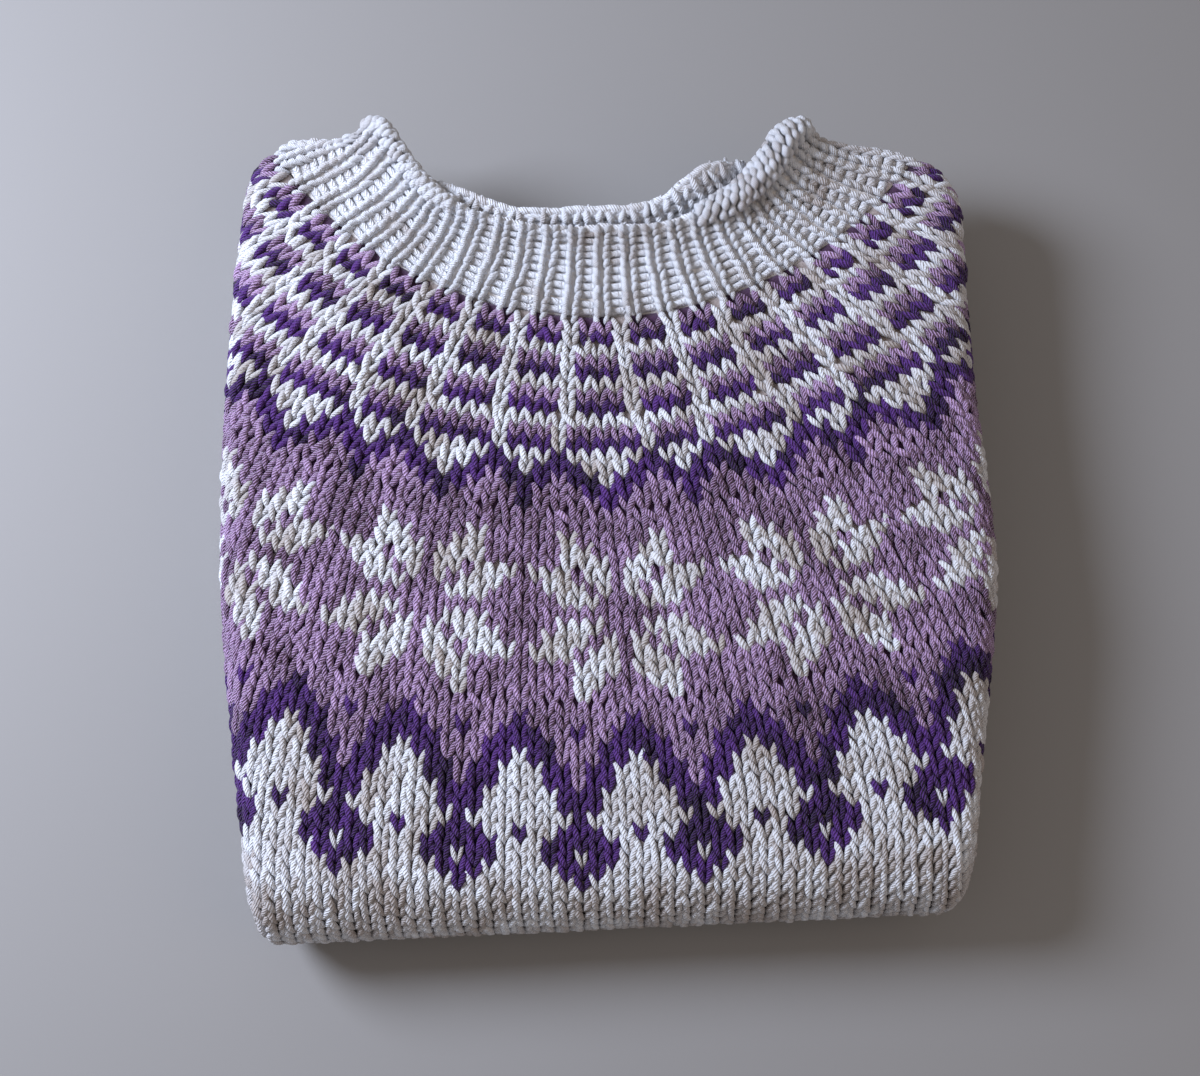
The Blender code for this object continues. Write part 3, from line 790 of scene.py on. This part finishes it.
# Columns run on from the yoke's and bend to run straight down, as far as the hem. Underneath, only those round
# the sides are laid
BODY_ROWS, BENDING_ROWS = 59, 8
laid = []
for index in range(-HALF_STITCHES, HALF_STITCHES + 1):
    edge_x, _ = fan_flat(np.full(2, index / REPEATS), np.array([YOKE_END_ROW - 1, YOKE_END_ROW]))
    for j in range(BODY_ROWS):
        x = edge_x[1] + (edge_x[1] - edge_x[0]) * BENDING_ROWS * (1 - math.exp(-j / BENDING_ROWS))
        y = yoke_lower_edge(x) - (j + 0.45) * ROW_PITCH
        turned = float(wrapped(np.array(x), np.array(y)))
        on_cloth = turned < WRAP_END - 0.1 and y > HEM_START + 2
        flat_beneath = (NEAR_FOLD - y) / FOLD >= 2.85 and turned <= 0.25
        if on_cloth and not flat_beneath:
            laid.append((x, y))
middle, side, fall = stitch_frames(body_point, *np.array(laid).T, STITCH_DEPTH)
# The body's stitches are painted further into shade than the yoke's
body_stitches = set_stitches("body_stitches", (middle, side, -fall * ROW_PITCH), GAUGE, plump=1.05, tone=0.45)
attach(body, "root")
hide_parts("body")


# ---- The neckband ----
# Knit-one-purl-one rib, 48 ribs round, in the white yarn. Each rib is a raised column of knit stitches, and
# between two ribs the bars of a purl column show sunk in. It lies on the front, stands at the sides and is low
# behind.

RIBS, BAND_ROWS = 48, 11
RIB_PLACE = 0.06  # where the first rib lies, in repeats from the middle of the front

# The bound-off edge, once round from the left shoulder: repeat, x, y, z
CREST = (
    (-4.0, -85.0, 150.5, 49.0),
    (-3.5, -79.0, 145.5, 54.0),
    (-3.0, -70.0, 132.0, 52.5),
    (-2.0, -53.0, 117.5, 51.0),
    (-1.0, -27.5, 109.5, 50.0),
    (0.0, -1.0, 108.0, 50.0),
    (1.0, 25.0, 110.0, 50.5),
    (2.0, 47.5, 118.5, 52.5),
    (3.0, 61.5, 132.0, 55.0),
    (3.5, 67.5, 141.0, 56.0),
    (4.0, 74.0, 148.0, 51.0),
    (4.5, 68.0, 143.5, 43.5),
    (5.0, 57.0, 137.5, 43.0),
    (6.0, 38.5, 133.0, 51.0),
    (7.0, 19.0, 122.0, 44.0),
    (8.0, -5.0, 120.0, 43.0),
    (9.0, -29.0, 119.5, 43.0),
    (10.0, -50.0, 126.0, 45.5),
    (11.0, -66.0, 135.0, 41.0),
    (11.5, -78.5, 145.0, 42.0),
)
BAND_EDGE = 1.8  # half the band's thickness
FOOT_GAP = 0.3  # from the yoke's first row to the band's foot
BACK_BAND = (5.0, 11.0, 16.8)  # where it lies on the back: first and last repeat, and degrees to a repeat


def closed_curve(at, places, points):
    """A smooth closed curve through points at given repeats, once round the garment."""
    places, points = np.array(places, float), np.array(points, float)
    places = np.concatenate([places[-3:] - REPEATS, places, places[:3] + REPEATS])
    rows = np.column_stack([places, np.concatenate([points[-3:], points, points[:3]])])
    return np.stack([table_value(at, rows, column) for column in (1, 2, 3)], -1)


NECK_RADIUS = FAN[0][3] / math.radians(NECK_SPREAD)
NECK_CENTRE = np.array([FAN[0][1], FAN[0][2] + NECK_RADIUS]) + PLAN_SHIFT


def band_feet():
    """Points of the band's lower edge, and the direction in which it leaves each."""
    places, feet, leaving = [], [], []
    for at in np.arange(-4.5, 4.6, 0.5):
        here, further = (yoke_point(np.array([at]), np.array([row]))[0] for row in (0.0, 1.0))
        away = (here - further) / np.linalg.norm(here - further)
        places.append(at)
        feet.append(here + away * FOOT_GAP)
        leaving.append(away)
    first, last, spread = BACK_BAND
    for at in np.arange(first, last + 0.1, 0.5):
        angle = math.radians(spread * (REPEATS / 2 - at))
        inward = np.array([-math.sin(angle), math.cos(angle)])
        places.append(at)
        feet.append((*(NECK_CENTRE - inward * (NECK_RADIUS - 2)), STACK - ARM + 1.5))
        leaving.append((*inward, 0.0))
    return places, feet, leaving


BAND_FEET = band_feet()
CREST_POINTS = [(row[1] + PLAN_SHIFT[0], row[2] + PLAN_SHIFT[1], row[3]) for row in CREST]


def from_front(repeat):
    """How many repeats a spot is from the middle of the front, either way."""
    return np.abs(np.where(repeat > REPEATS / 2, repeat - REPEATS, repeat))


FRONT_END = 4.6  # repeats from the middle at which the front's cloth has ended, past the shoulder
BAND_PAINTED_LIGHT = 0.8  # the band's wool is painted brighter, as painted light


def band_middle(repeat, up):
    """The band's cloth, this share of the way up from its foot to its bound-off edge."""
    places, feet, leaving = BAND_FEET
    foot, leave = closed_curve(repeat, places, feet), closed_curve(repeat, places, leaving)
    crest = closed_curve(repeat, [row[0] for row in CREST], CREST_POINTS)
    rise = crest - foot
    length = np.linalg.norm(rise, axis=-1, keepdims=True)
    front = np.clip((FRONT_END - from_front(repeat)) / 0.8, 0, 1)[..., None]
    stand = np.array([0, 0.35, 0.9]) * (1 - front) + np.array([0, 0.5, 0.55]) * front
    return hermite(foot, crest, leave * length, 0.35 * rise + 0.6 * length * stand, up[..., None])


def band_directions(repeat, up, ahead):
    """Which way is out of the band here and which way is up, and how far it runs from foot to edge."""
    around = band_middle(repeat + 0.2, up) - band_middle(repeat - 0.2, up)
    rise = band_middle(repeat, up + ahead) - band_middle(repeat, up - 0.04)
    return unit(np.cross(around, rise)), unit(rise), np.linalg.norm(rise, axis=-1) / (0.04 + ahead)


def band_point(repeat, up, depth=0.0):
    """A spot of the band, this deep below its outer face. Past its top it goes over to the inner face."""
    below = np.minimum(up, 1)
    out, rise, length = band_directions(repeat, below, 0.01)
    over = np.clip((up - 1) * length / BAND_EDGE, 0, math.pi)
    radius = BAND_EDGE - depth
    sunk = BAND_EDGE - radius * np.cos(over)
    return band_middle(repeat, below) - out * sunk[..., None] + rise * (radius * np.sin(over))[..., None]


def all_round(count, start=0.0):
    """Places once round the band from the left shoulder, in repeats."""
    return -4 + REPEATS * ((np.arange(count) + start) / count)


def pairs(first, second):
    """Every pair of a value of the first and one of the second, as two flat rows."""
    return (grid.ravel() for grid in np.meshgrid(first, second))


BAND_GRID = (25, 6 * RIBS)
ring = np.broadcast_to(all_round(BAND_GRID[1]), BAND_GRID)
up = np.broadcast_to(np.linspace(0.0, 1.0, BAND_GRID[0])[:, None], BAND_GRID)
ribbing = 0.4 * np.cos((ring - RIB_PLACE) * 2 * math.pi * RIBS / REPEATS)
sunk = 1.3 - ribbing + 1.2 * np.clip(1 - up / 0.15, 0, 1) ** 2
band = cloth_wall(
    "neckband_cloth", band_point(ring, up, sunk), band_point(ring, up, sunk + 0.9), ring=True, plain="rib"
)

# A rib's two cords stand apart, and its bars run from rib to rib
BAND_STRANDS = {
    "Rib left leg": (
        (-0.47, 1.02, -0.28, 0.09, 0.09),
        (-0.47, 0.64, -0.12, 0.19, 0.19),
        (-0.44, 0.20, 0.01, 0.25, 0.25),
        (-0.42, -0.26, 0.09, 0.28, 0.28),
        (-0.38, -0.66, 0.08, 0.23, 0.23),
        (-0.33, -1.00, -0.10, 0.10, 0.10),
    ),
    "Rib right leg": (
        (0.58, 0.90, -0.26, 0.08, 0.08),
        (0.54, 0.56, -0.11, 0.18, 0.18),
        (0.46, 0.18, 0.01, 0.24, 0.25),
        (0.38, -0.22, 0.09, 0.27, 0.27),
        (0.30, -0.58, 0.07, 0.21, 0.21),
        (0.24, -0.90, -0.10, 0.08, 0.08),
    ),
    "Purl bar": (
        (-0.52, -0.20, -0.09, 0.34, 0.09),
        (-0.32, 0.00, -0.01, 0.48, 0.12),
        (-0.11, 0.10, 0.02, 0.52, 0.125),
        (0.11, 0.10, 0.02, 0.52, 0.125),
        (0.32, 0.00, -0.01, 0.48, 0.12),
        (0.52, -0.20, -0.09, 0.34, 0.09),
    ),
    "Edge bump": (
        (-0.16, -1.05, -0.10, 0.18, 0.14),
        (-0.10, -0.62, 0.00, 0.38, 0.32),
        (-0.02, -0.20, 0.07, 0.48, 0.42),
        (0.05, 0.22, 0.07, 0.48, 0.42),
        (0.11, 0.64, 0.00, 0.36, 0.30),
        (0.16, 1.05, -0.12, 0.14, 0.12),
    ),
}
*RIB_LEGS, purl_bar, edge_bump = (yarn_leg(name, rings) for name, rings in BAND_STRANDS.items())
PURL_BAR, EDGE_BUMP = (purl_bar,), (edge_bump,)
WIDEST_BAR = 8.0  # at the shoulders, where the cloth bends sharply
KNIT_SHARE = 0.53  # of the way from rib to rib
INSIDE_SHOWN = 5.2  # repeats from the middle past which the band's inner face shows down to its foot
rib = RIB_PLACE + np.arange(RIBS) * REPEATS / RIBS
rib = np.where(rib > 12, rib - REPEATS, rib)
rib_grid, row_grid = pairs(rib, (np.arange(-1, BAND_ROWS + 1) + 0.5) / BAND_ROWS)
between = rib_grid + REPEATS / RIBS / 2
for name, at, depth, inside, bars in (
    ("neckband_ribs", rib_grid, 0.0, False, False),
    ("neckband_purl_bars", between, 1.2, False, True),
    ("neckband_inner_ribs", between, 3.4, True, False),
    ("neckband_inner_purl_bars", rib_grid, 2.4, True, True),
):
    away = from_front(at)
    if inside:
        keep = (row_grid > np.where(away > INSIDE_SHOWN, 0, 0.5)) & (row_grid < 1)
    elif bars:  # none where the shoulder squeezes them
        keep = (row_grid > 0) & ~((away > 4.15) & (away < FRONT_END) & (row_grid < 0.6))
    else:
        keep = (row_grid < 1) | (away < FRONT_END)
    here, up = at[keep], row_grid[keep]
    sunk = depth + 0.9 * (up < 0) + (0.5 * (up < 0.06) if bars else 0)
    middle, side, fall = stitch_frames(band_point, here, up, sunk, step=(0.02, 0.02))
    width = np.minimum(np.linalg.norm(side, axis=1) * REPEATS / RIBS, WIDEST_BAR)
    frames, plump, strands = (middle, -side if inside else side, -fall / BAND_ROWS), 1.0, PURL_BAR
    if not bars:
        width = width * KNIT_SHARE
        plump = 1.06 + 0.2 * np.clip((away[keep] - 1.5) / 1.5, 0, 1) * up
        strands = RIB_LEGS
    set_stitches(name, frames, width, plump=plump, strands=strands, tone=BAND_PAINTED_LIGHT)

# The bound-off edge is one chain, all the way round
chain = all_round(2 * RIBS, 0.5)
edge_up, edge_depth = np.full(2 * RIBS, 1.02), np.full(2 * RIBS, 1.2)
middle = band_point(chain, edge_up, edge_depth)
along = (band_point(chain + 0.03, edge_up, edge_depth) - middle) / 0.03
across = band_point(chain, edge_up - 0.02, edge_depth) - middle
frames = (middle, -across, -along / 6)
set_stitches("neckband_edge", frames, 3.8, strands=EDGE_BUMP, tone=BAND_PAINTED_LIGHT)

# On the two collars the edge rolls outwards, and the ribs end in plump bumps over the roll.
# Each collar: its middle and half its length in repeats, and the roll's radius in mm
COLLARS = {"left": (2.8, 1.35, 5.2), "right": (-3.15, 1.15, 2.8)}
ROLL_TURNS = np.radians((-110, -72, -34, 4, 42, 80, 118))  # of the rows of bumps
BUMP_SPACING, BUMP_SHIFT = 0.155, 0.075  # in repeats. Every other row lies between the bumps of the last
BUMP_LENGTH, BUMP_WIDTH = 2.3, 3.4


def roll_point(repeat, turn, radius):
    """A spot on the roll over the band's edge, turned this far outwards from the top of the band."""
    top = np.ones_like(repeat)
    out, rise, _ = band_directions(repeat, top, 0)
    turn, radius = turn[..., None], np.broadcast_to(radius, repeat.shape)[..., None]
    return band_middle(repeat, top) - out * BAND_EDGE + radius * (np.sin(turn) * out + np.cos(turn) * rise)


for side_name, (collar, half, radius) in COLLARS.items():
    chain, turn = pairs(np.arange(collar - half, collar + half, BUMP_SPACING), ROLL_TURNS)
    row = np.arange(len(chain)) * len(ROLL_TURNS) // len(chain)
    chain = chain + BUMP_SHIFT * (row % 2)
    swell = radius * (0.45 + 0.55 * np.sqrt(np.clip(1 - ((chain - collar) / half / 1.1) ** 2, 0, 1)))
    middle = roll_point(chain, turn, swell)
    side = roll_point(chain + 0.05, turn, swell) - roll_point(chain - 0.05, turn, swell)
    fall = roll_point(chain, turn + 0.1, swell) - roll_point(chain, turn - 0.1, swell)
    frames = (middle, side, unit(fall) * BUMP_LENGTH)
    # The rolls' bumps are painted lighter still, as painted light
    set_stitches(f"neckband_{side_name}_roll", frames, BUMP_WIDTH, strands=EDGE_BUMP, tone=0.85)
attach(band, "root")
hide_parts("neck_rib")


# ---- The hem ----
# The same rib at the lower end of the body, folded up underneath: flat where it rests, with its bound-off edge
# behind, at the neck end.

hem_first, hem_last = HEM_START - 0.3, HEM_START - 0.3 - HEM_BAND
hem_x = np.concatenate([-roll[::-1], np.linspace(-1, 1, 151) * LEVEL, roll])
hem_y = np.linspace(hem_first, hem_last + 0.8, 13)[:, None]
hem_x, hem_y = np.broadcast_arrays(hem_x[None, :], hem_y)
hem_depth = shell_depth(hem_x, hem_y)
ribbing = 0.5 - 0.5 * np.cos(2 * math.pi * hem_x / (2 * GAUGE))
hem = cloth_wall(
    "hem_cloth",
    body_point(hem_x, hem_y, hem_depth + 1.2 * ribbing * (hem_depth < 1)),
    body_point(hem_x, hem_y, CLOTH_INNER - 0.2),
    material=PRESSED,
)
map_stitches(hem.data, HALF_STITCHES + hem_x / GAUGE, (hem_first - hem_y) / ROW_PITCH)

# Three ribs lie on each side roll, and the bound-off edge runs all across
laid = []
for side_sign in (-1, 1):
    for column in range(3):
        for row in range(10):
            laid.append((side_sign * (LEVEL + 5 + column * 2 * GAUGE), hem_first - (row + 0.5) * ROW_PITCH))
middle, side, fall = stitch_frames(body_point, *np.array(laid).T, 0.9)
hem_stitches = set_stitches("hem_ribs", (middle, side, -fall * ROW_PITCH), GAUGE)
x = (np.arange(61) - 30) * GAUGE * 0.985
y = np.full(61, hem_last + 0.9)
middle = body_point(x, y, 2.0)
along = (body_point(x + 0.5, y, 2.0) - body_point(x - 0.5, y, 2.0)) * GAUGE
across = body_point(x, y, 1.0) - middle
hem_edge = set_stitches("hem_edge", (middle, across, -along), 3.6)
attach(hem, "root")
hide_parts("hem_rib")


# ---- The sleeves ----
# Each sleeve is folded flat behind the yoke. Only its fold shows, a narrow doubled edge of plain knitting along
# the side of the bundle and round the shoulder.

SLEEVE_RADIUS = (STACK - 2 * ARM - 0.6) / 2  # fills the gap between the two rolls, nearly
SLEEVE_OUT = CORNER + ROLL - 5.5  # its fold lies a little further in than the rolls
SLEEVE_NEAR, SLEEVE_END = NEAR_FOLD + 8, 80.0
SLEEVE_LENGTHS = (CORE_END - SLEEVE_NEAR, SLEEVE_OUT * math.pi / 2, HALF_CORE - SLEEVE_END)


def sleeve_point(side, along, around, depth=0.0):
    """A spot this far along the sleeve's fold and this far round it, in mm. Past its round it runs inwards."""
    straight, corner, rest = SLEEVE_LENGTHS
    turn = np.clip((along - straight) / SLEEVE_OUT, 0, math.pi / 2)
    x = HALF_CORE - np.maximum(along - straight - corner, 0)
    y = SLEEVE_NEAR + np.minimum(along, straight)
    ends = np.clip(np.minimum(along, straight + corner + rest - along) / 12, 0, 1)
    radius = SLEEVE_RADIUS * (0.45 + 0.55 * np.sqrt(1 - (1 - ends) ** 2))
    angle = np.clip(around / SLEEVE_RADIUS, -math.pi / 2, math.pi / 2)
    inward = np.maximum(np.abs(around) - SLEEVE_RADIUS * math.pi / 2, 0)
    out = SLEEVE_OUT + (radius - depth) * np.cos(angle) - SLEEVE_RADIUS - inward - 4 * (1 - ends)
    z = FOLD + (radius - depth) * np.sin(angle)
    return settle(side * (x + out * np.cos(turn)), y + out * np.sin(turn), z)


sleeve_length = sum(SLEEVE_LENGTHS)
sleeve_rows, sleeve_columns = np.meshgrid(
    np.linspace(0, sleeve_length, 100), np.linspace(-11, 11, 17), indexing="ij"
)
for name, side_sign in (("left", 1), ("right", -1)):
    sleeve = cloth_wall(
        f"sleeve_{name}_cloth",
        sleeve_point(side_sign, sleeve_rows, sleeve_columns, 1.2),
        sleeve_point(side_sign, sleeve_rows, sleeve_columns, 2.2),
    )
    along, around = pairs(np.arange(2, sleeve_length - 2, ROW_PITCH), (-2.5, 2.5))
    middle, fall, side = stitch_frames(partial(sleeve_point, side_sign), along, around * side_sign, 0.8)
    frames = (middle, side * side_sign, fall * ROW_PITCH)
    stitches = set_stitches(f"sleeve_{name}_stitches", frames, GAUGE)
    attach(sleeve, "root")
    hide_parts(f"sleeve_{name}")


# ---- The hidden layers ----
# The back yoke, the turned-in sides, the back of the body and the cuffs, as one rounded filling. It shows
# behind, where its folded and bound-off edges lie one on another, and a little of it in the neck opening.

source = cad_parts["folded_layers"]
filling_mesh = source.data.copy()
filling_mesh.transform(source.matrix_world)
work = bmesh.new()
work.from_mesh(filling_mesh)
bmesh.ops.remove_doubles(work, verts=work.verts, dist=0.00001)
work.to_mesh(filling_mesh)
work.free()
inner, tree, shader = new_material("Inner knitted wool", Roughness=0.95)  # soft and fuzzy, its wool painted dark as shade
where = add_node(tree, "ShaderNodeTexCoord").outputs["Object"]
fuzz = add_node(tree, "ShaderNodeTexNoise", [("Vector", where)], inputs={"Scale": 420.0, "Detail": 4.0})
relief_and_painted_light(tree, shader, fuzz, 0.001, fuzz, "#7D716E", "#C6BEBC", strength=0.8)
filling = new_piece("hidden_layers", filling_mesh, inner)
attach(filling, "root")
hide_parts("folded_layers")

BACK_END = 114.2
LAYER_DEPTHS = (1.4, 2.1)  # of the cloth's two faces
UNDER_RUN = 6.0  # how far the cloth runs on below a fold
CHAIN_PITCH = 4.6  # a stitch of a bound-off edge, lengthwise

# Edges behind, from the lowest up: middle height, half thickness, half width, and run of the cloth over the top
LAYERS = {
    "back_hem": (6.4, 2.3, 118.0, 6.0),
    "turned_side": (10.9, 2.2, 116.0, 6.0),
    "cuff": (15.4, 2.3, 108.0, 6.0),
    "back_sleeve": (21.6, 4.3, 104.0, 36.0),
}


def layer_point(layer, x, around, depth=0.0):
    """A spot of a folded edge, this far across the bundle and this far up round the fold, in mm."""
    height, radius, half, _ = LAYERS[layer]
    turn = np.clip(around / radius, -math.pi / 2, math.pi / 2)
    inward = np.maximum(np.abs(around) - radius * math.pi / 2, 0)
    ends = np.clip((half - np.abs(x)) / 10, 0, 1)
    wave = 0.8 * np.sin(x / 31 + height) + 0.5 * np.sin(x / 13 + 2 * height)
    y = BACK_END + wave + (radius - depth) * np.cos(turn) - inward - 6 * (1 - np.sqrt(1 - (1 - ends) ** 2))
    return np.stack(np.broadcast_arrays(x, y, height + (radius - depth) * np.sin(turn)), -1)


for layer, (height, radius, half, run) in LAYERS.items():
    quarter = radius * math.pi / 2
    on_layer = partial(layer_point, layer)
    layer_x, layer_around = np.meshgrid(
        np.linspace(-half, half, 97), np.linspace(-quarter - UNDER_RUN, quarter + run, 17)
    )
    faces = (on_layer(layer_x, layer_around, depth) for depth in LAYER_DEPTHS)
    edge = cloth_wall(f"{layer}_cloth", *faces)
    first, last = 4 - half, half - 3  # its stitches, across the bundle
    width, strands = GAUGE, LEGS
    if layer == "back_hem":  # its bound-off edge
        x = np.arange(first, last, CHAIN_PITCH)
        middle, side, fall = stitch_frames(on_layer, x, 0 * x, 1.2)
        frames, width, strands = (middle, -fall, side * CHAIN_PITCH), 4.2, EDGE_BUMP
    elif layer == "turned_side":  # its columns run round the fold
        x, around = pairs(np.arange(first, last, GAUGE), (-ROW_PITCH / 2, ROW_PITCH / 2))
        middle, side, fall = stitch_frames(on_layer, x, around, 0.9)
        frames = (middle, side, fall * ROW_PITCH)
    else:  # its columns run across the bundle
        x, around = pairs(np.arange(first, last, ROW_PITCH), np.arange(-GAUGE / 2, quarter + run - 5, GAUGE))
        middle, side, fall = stitch_frames(on_layer, x, around, 0.9)
        from_neck = np.hypot(*(middle[:, :2] - NECK_CENTRE).T)
        shown = (around < quarter) | (from_neck < NECK_RADIUS - 4)
        frames = (middle[shown], fall[shown], -side[shown] * ROW_PITCH)
    stitches = set_stitches(f"{layer}_stitches", frames, width, strands=strands)
    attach(edge, "root")


# ---- The surface, the lights and the camera ----
# A plain pale surface, a soft cool lamp on the left, a weak warm one on the right, and a dim even room.

floor_mesh = bpy.data.meshes.new("floor")
floor_mesh.from_pydata([(-3, -3, 0), (3, -3, 0), (3, 3, 0), (-3, 3, 0)], [], [(0, 1, 2, 3)])
paper, _, _ = new_material("Pale surface", Base_Color=linear("#9D9B99"), Roughness=0.9)
floor = new_piece("floor", floor_mesh, paper)

for name, place, size, power, colour in (
    ("key light", (-0.60, 0.17, 0.52), 0.35, 8.8, "#E1EAFF"),
    ("fill light", (0.9, -0.3, 0.9), 1.0, 1.5, "#FFDCB4"),
):
    lamp = bpy.data.lights.new(name, "AREA")
    lamp.shape = "DISK"
    lamp.size = size
    lamp.energy = power
    lamp.color = linear(colour)[:3]
    light = bpy.data.objects.new(name, lamp)
    light.location = place
    light.rotation_euler = (-light.location).to_track_quat("-Z", "Y").to_euler()
    bpy.context.scene.collection.objects.link(light)

world = bpy.data.worlds.new("Soft room")
world.use_nodes = True
background = world.node_tree.nodes["Background"]
background.inputs["Color"].default_value = linear("#EEEAEC")
background.inputs["Strength"].default_value = 0.31
scene = bpy.context.scene
scene.world = world
scene.view_settings.view_transform = "Standard"

LOOK_AT, CAMERA_DISTANCE, ELEVATION = Vector((-0.002, -0.0063, 0.03)), 0.62, math.radians(74)
lens = bpy.data.cameras.new("camera")
lens.lens = 53.1  # mm, with the sensor below
lens.sensor_width = 36
lens.sensor_fit = "HORIZONTAL"
camera = bpy.data.objects.new("camera", lens)
camera.location = LOOK_AT + CAMERA_DISTANCE * Vector((0, -math.cos(ELEVATION), math.sin(ELEVATION)))
camera.rotation_euler = (math.pi / 2 - ELEVATION, 0, 0)
scene.collection.objects.link(camera)
scene.camera = camera

# ---- The end ----
# The legs that were laid everywhere are taken away.

for spare in (*LEGS, *RIB_LEGS, purl_bar, edge_bump):
    bpy.data.objects.remove(spare)
